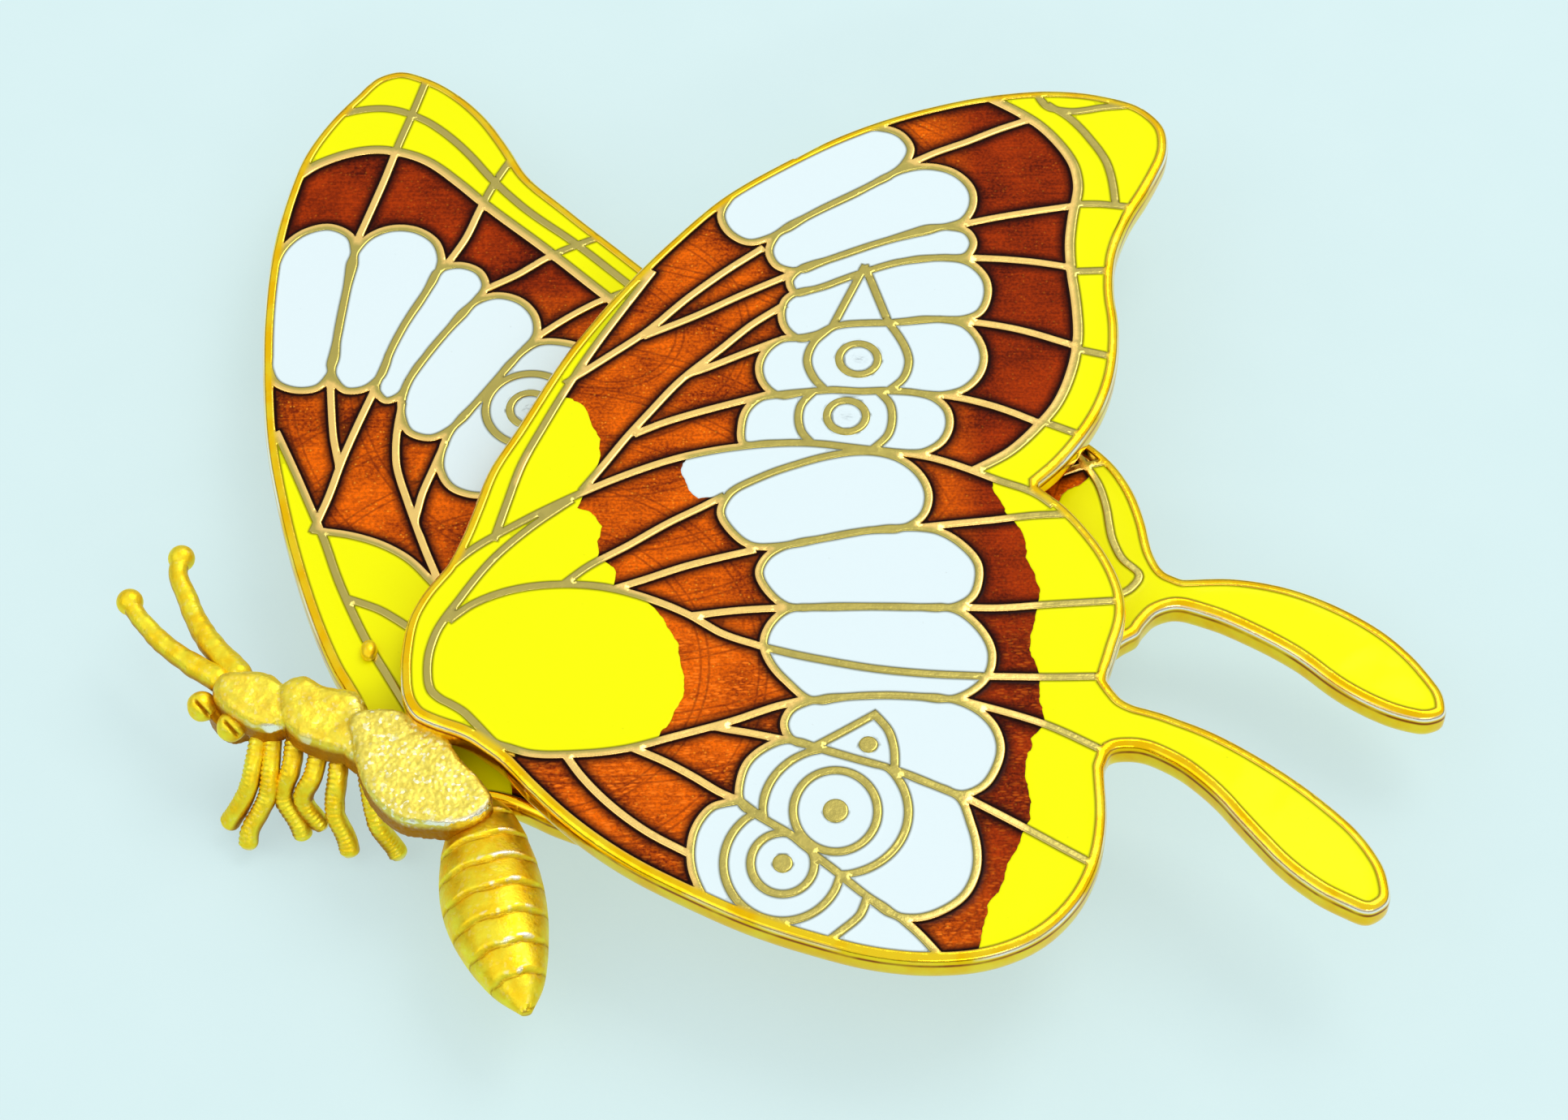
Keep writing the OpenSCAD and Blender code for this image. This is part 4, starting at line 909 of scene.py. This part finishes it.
def build_bars(name, paths, notch=0.0, ball_radius=0.0):
    """A pair or a set of bars as one piece, with a ball on each end where a radius is given."""
    shell = Shell()
    for number, path in enumerate(paths):
        add_bar(shell, path, notch=notch, seed=1.7 * number)
        if ball_radius:
            tip = np.array(path[-1][:3])
            add_turned(shell, ball(ball_radius), SHIFT + tip, (0, 0, 1))
    return shell.object(name)


def add_turned(shell, profile, origin, axis, across=(1.0, 1.0), count=40):
    """A turned shape: profile holds (radius, height) pairs in mm; height runs along axis from origin."""
    turn = np.array(Vector(axis).to_track_quat("Z", "Y").to_matrix()).T
    angles = around(count)
    rings = []
    for radius, height in profile:
        local = np.stack([radius * across[0] * np.cos(angles), radius * across[1] * np.sin(angles),
                          np.full(count, height)], axis=1)
        points = np.asarray(origin) + local @ turn
        rings.append(ring(shell.add(points, frost=0.1, worn=0.0, deep=0.0), count))
    shell.tube(rings[::-1])


def dome(radius, height, base=0.0, steps=10):
    """Profile of a half-round end."""
    return [(max(radius * math.cos(a), 0.01), base + height * math.sin(a))
            for a in (math.pi / 2 * k / steps for k in range(steps + 1))]


def ball(radius, steps=28):
    """Profile of a ball."""
    turns = (-math.pi / 2 + math.pi * k / steps for k in range(steps + 1))
    return [(max(radius * math.cos(a), 0.01), radius * math.sin(a)) for a in turns]


EYES = [(-31.2, -9.45, 5.4), (-29.55, -10.75, 5.4)]
EYE_RADIUS = 0.82
# The slit of an eye: the way it faces, the way across it, its half width and its depth
SLIT_FACE = np.array([0.15, -0.62, 0.77])
SLIT_ACROSS = np.array([0.72, 0.6, 0.34])
SLIT_WIDTH = 0.09
SLIT_DEPTH = 0.3


def build_eye(name, centre):
    """A slightly lumpy ball with a slit cut across its front, and painted shade in the slit."""
    shell = Shell()
    add_turned(shell, ball(EYE_RADIUS, 44), SHIFT + centre, (-0.5, -0.5, 0.7), count=60)
    piece = shell.object(name)
    points = np.array([v.co for v in piece.data.vertices]) / MM - SHIFT - centre
    line = np.exp(-((points @ SLIT_ACROSS + 0.05) / SLIT_WIDTH) ** 2)
    slit = line * np.clip((points @ SLIT_FACE - 0.45) / 0.2, 0, 1)
    shape = 1 - SLIT_DEPTH * slit + 0.07 * waves(points, 0.7, centre[0])
    set_points(piece, SHIFT + centre + points * shape[:, None])
    # Painted shade in the slit
    piece.data.attributes["deep"].data.foreach_set("value", np.clip(slit * 1.3, 0, 1).astype(np.float32))
    return piece


ABDOMEN_ROOT = np.array([-16.1, -15.3, 5.0])
ABDOMEN_TURN = math.radians(12.5)
ABDOMEN_AXIS = np.array([math.sin(ABDOMEN_TURN), -math.cos(ABDOMEN_TURN), 0])
ABDOMEN_SIDE = np.array([math.cos(ABDOMEN_TURN), math.sin(ABDOMEN_TURN), 0])
ABDOMEN_LENGTH = 13.1
# Half width of the abdomen at even steps from root to tip
ABDOMEN_HALF = [1.0, 1.8, 2.25, 2.55, 2.72, 2.74, 2.6, 2.3, 1.88, 1.28, 0.3]
# Its height as a part of its width, the depth of its flat underside, and how far its axis bows
ABDOMEN_HEIGHT = 0.8
ABDOMEN_FLAT = 2.2
ABDOMEN_BOW = 0.45
ABDOMEN_SIDES = 84
RINGS = 8
ROWS_PER_RING = 24
RING_RISE = 0.26
RING_SINK = 0.1
GROOVE_DEPTH = 0.12


def ring_steps(t, angles):
    """How far each ring, t from 0 to 1 along it, stands out on top, and the groove behind it."""
    top = np.clip(np.sin(angles) * 1.5 - 0.1, 0, 1)
    flank = np.exp(-((np.sin(angles) - 0.25) / 0.12) ** 2)
    rise = RING_RISE * (np.clip(t / 0.8, 0, 1) ** 1.3 - np.clip((t - 0.88) / 0.08, 0, 1))
    groove = -GROOVE_DEPTH * np.exp(-((t - 0.98) / 0.03) ** 2)
    return (rise - RING_SINK) * top + groove * np.maximum(top, flank)


def ring_highlight(t, angles, core):
    """Painted highlight: bright streaks along the raised edge of each ring, near the top towards one side,
    broken up by noise.
    """
    crest_highlight = np.exp(-((t - 0.84) / 0.08) ** 2) * np.clip(np.cos(angles - 1.35) * 5 - 3.9, 0, 1)
    return crest_highlight * np.clip(0.5 + 2.2 * waves(core, 0.35, 2.0), 0.1, 1)


def build_abdomen():
    """A tapered body whose rings overlap like tiles along its top."""
    angles = around(ABDOMEN_SIDES)
    half = along([(k, h, 0.0) for k, h in enumerate(ABDOMEN_HALF)], 0.1)
    shell = Shell()
    rings = []
    for u in np.linspace(0, 1, RINGS * ROWS_PER_RING):
        r = float(np.interp(u * (len(ABDOMEN_HALF) - 1), half[:, 0], half[:, 1]))
        t = (u * RINGS + 0.1 * np.cos(angles) + 0.03 * np.sin(angles * 7)) % 1.0
        radius = np.maximum(r + ring_steps(t, angles) * min(1.0, r / 1.6) * min(1.0, u * 8), 0.02)
        bow = ABDOMEN_SIDE * ABDOMEN_BOW * math.sin(math.pi * u)
        centre = SHIFT + ABDOMEN_ROOT + ABDOMEN_AXIS * u * ABDOMEN_LENGTH - bow
        points = centre + np.outer(radius * np.cos(angles), ABDOMEN_SIDE)
        points[:, 2] += radius * ABDOMEN_HEIGHT * np.sin(angles)
        points[:, 2] = np.maximum(points[:, 2], centre[2] - ABDOMEN_FLAT)
        # Painted highlight streaks on each ring's raised edge
        worn = ring_highlight(t, angles, centre + np.outer(np.cos(angles), ABDOMEN_SIDE) * r)
        # Painted shade: dark in the groove behind each ring and a little darker over the first half of each
        # ring
        shade = 0.75 * np.exp(-((t - 0.975) / 0.035) ** 2) + 0.25 * np.clip(1 - t / 0.5, 0, 1)
        rings.append(ring(shell.add(points, frost=0.1, worn=worn, deep=shade), ABDOMEN_SIDES))
    shell.tube(rings)
    return shell.object("abdomen_rings")


def cast_look():
    """Plated casting: satin yellow gold, paler where it is stippled, with painted glints on the stipple,
    painted shade where the deep value is high, and a painted near-white highlight, with lower roughness,
    where the highlight mask is set.
    """
    look = Look("cast_gold", Metallic=1.0)
    frost, worn = look.value("frost"), look.value("worn")
    patches = look.scaled(look.grain(0.9, 4.0), 0.38, 0.62)
    plain = look.mix(patches, colour(255, 236, 52), colour(255, 214, 20))
    stipple = look.scaled(look.grain(0.3, 3.0), 0.35, 0.65)
    frosted = look.mix(stipple, colour(250, 232, 104), colour(228, 206, 84))
    # Painted glints: pale specks on the stipple
    painted_glint = look.product(look.scaled(look.cells(0.17).outputs["Color"], 0.74, 0.86),
                         look.scaled(frost, 0.3, 1.0, 0.1, 0.9))
    bright_tone = look.mix(painted_glint, look.mix(frost, plain, frosted), colour(255, 252, 214))
    # Painted shade: darker gold where the deep value is high
    shaded = look.mix(look.value("deep"), bright_tone, colour(178, 118, 6))
    # Painted highlight: near-white colour where the highlight mask is set; the roughness drops there too
    look.feed("Base Color", look.mix(look.scaled(worn, 0.2, 0.8), shaded, colour(255, 248, 224)))
    satin = look.scaled(look.grain(0.22, 4.0), 0.3, 0.7, 0.34, 0.56)
    look.feed("Roughness", look.math("SUBTRACT", satin, look.scaled(worn, 0.1, 0.8, 0.0, 0.24)))
    look.bump(look.grain(0.14, 4.0), 0.02)
    return look.material


BEAD_PLACE = (-22.4, -6.2, 5.75)
BEAD_RADIUS = 0.46


def build_bead():
    """The small head of the rivet at the wing root, longer one way than the other."""
    shell = Shell()
    profile = [(0.4, 0), (BEAD_RADIUS, 0.08), (BEAD_RADIUS, 0.2)] + dome(BEAD_RADIUS, 0.45, 0.2)
    add_turned(shell, profile, SHIFT + BEAD_PLACE, (0, 0, 1), (1.0, 1.35))
    return shell.object("root_bead")


cast = cast_look()
dress(build_thorax(), "thorax_casting", cast)
dress(build_bars("front_legs_cast", LEGS[:3], LEG_NOTCH), "front_legs", cast)
dress(build_bars("rear_legs_cast", LEGS[3:], LEG_NOTCH), "rear_legs", cast)
dress(build_bars("antennae_cast", ANTENNAE, ball_radius=ANTENNA_BALL), "antennae", cast)
dress(build_abdomen(), "abdomen", cast)
for number, place in enumerate(EYES):
    dress(build_eye(f"eye_{number + 1}", np.array(place)), "eyes", cast)
dress(build_bead(), "root_rivet", cast)


# ---- Posts, hinge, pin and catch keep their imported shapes, with softened edges ----

def soften(node):
    """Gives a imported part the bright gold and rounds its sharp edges."""
    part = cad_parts[node]
    part.data.materials.clear()
    part.data.materials.append(bright)
    bevel = part.modifiers.new("edges", "BEVEL")
    bevel.width = 0.05 * MM
    bevel.segments = 2
    bevel.limit_method = "ANGLE"
    bevel.angle_limit = math.radians(50)


for node in ("spacer_posts", "hinge_bracket", "hinge_rivet", "pin_stem", "catch_base", "catch_rotor"):
    soften(node)


# ---- Floor, light and camera; their sizes are in metres ----

FLOOR_SIZE = 3.0
FLOOR_DROP = 0.02 * MM


def floor_look():
    """Pale blue paper, lit a little from within so that shadows stay soft."""
    look = Look("paper", Roughness=0.8, Specular_IOR_Level=0.1, Emission_Strength=0.62)
    cloud = look.grain(6.0, 4.0)
    look.feed("Base Color", look.mix(cloud, colour(136, 152, 153), colour(139, 154, 155)))
    look.feed("Emission Color", look.mix(cloud, colour(214, 238, 240), colour(217, 240, 242)))
    look.bump(look.grain(0.5, 4.0), 0.01)
    return look.material


bpy.ops.mesh.primitive_plane_add(size=FLOOR_SIZE, location=(0, 0, -FLOOR_DROP))
floor = bpy.context.object
floor.name = "floor"
floor.data.materials.append(floor_look())


def add_light(name, place, size, power, tint):
    """A rectangular lamp that faces the origin."""
    data = bpy.data.lights.new(name, "AREA")
    data.shape = "RECTANGLE"
    data.size, data.size_y = size
    data.energy = power
    data.color = tint
    lamp = bpy.data.objects.new(name, data)
    bpy.context.scene.collection.objects.link(lamp)
    lamp.location = place
    lamp.rotation_euler = (-Vector(place)).to_track_quat("-Z", "Y").to_euler()


add_light("key", (0.25, 0.25, 0.55), (0.35, 0.35), 1.2, (1.0, 0.99, 0.96))
add_light("front", (0.14, -0.42, 0.27), (0.3, 0.035), 0.3, (1.0, 0.99, 0.97))
add_light("fill", (-0.45, -0.25, 0.45), (0.5, 0.5), 0.5, (0.93, 0.97, 1.0))

# The tent is dim near the floor and bright above: (height from 0 to 1, colour)
TENT = [(0.06, (0.24, 0.25, 0.24, 1)), (0.42, (0.97, 0.99, 1.0, 1))]
TENT_STRENGTH = 0.85


def light_tent():
    """A white tent around the object, as the world's background."""
    world = bpy.data.worlds.new("tent")
    bpy.context.scene.world = world
    world.use_nodes = True
    tree = world.node_tree
    background = tree.nodes["Background"]
    coord = tree.nodes.new("ShaderNodeTexCoord")
    split = tree.nodes.new("ShaderNodeSeparateXYZ")
    ramp = tree.nodes.new("ShaderNodeValToRGB")
    tree.links.new(coord.outputs["Generated"], split.inputs[0])
    tree.links.new(split.outputs["Z"], ramp.inputs[0])
    tree.links.new(ramp.outputs[0], background.inputs[0])
    for stop, (height, tint) in zip(ramp.color_ramp.elements, TENT):
        stop.color = tint
        stop.position = height
    background.inputs[1].default_value = TENT_STRENGTH


light_tent()

LENS = 109.0
SENSOR = 36.0
DISTANCE = 0.26
NEAREST = 0.01
ELEVATION = math.radians(55)
# Height in mm of the point looked at, above the origin of the drawing
TARGET_HEIGHT = 5.6


def aim_camera():
    """A camera above and in front of the object, looking down at it."""
    target = Vector((SHIFT[0], SHIFT[1], TARGET_HEIGHT)) * MM
    camera = bpy.data.objects.new("camera", bpy.data.cameras.new("camera"))
    bpy.context.scene.collection.objects.link(camera)
    camera.data.lens = LENS
    camera.data.sensor_width = SENSOR
    camera.data.clip_start = NEAREST
    camera.location = target + DISTANCE * Vector((0, -math.cos(ELEVATION), math.sin(ELEVATION)))
    camera.rotation_euler = (math.pi / 2 - ELEVATION, 0, 0)
    bpy.context.scene.camera = camera


aim_camera()
bpy.context.scene.view_settings.view_transform = "Standard"
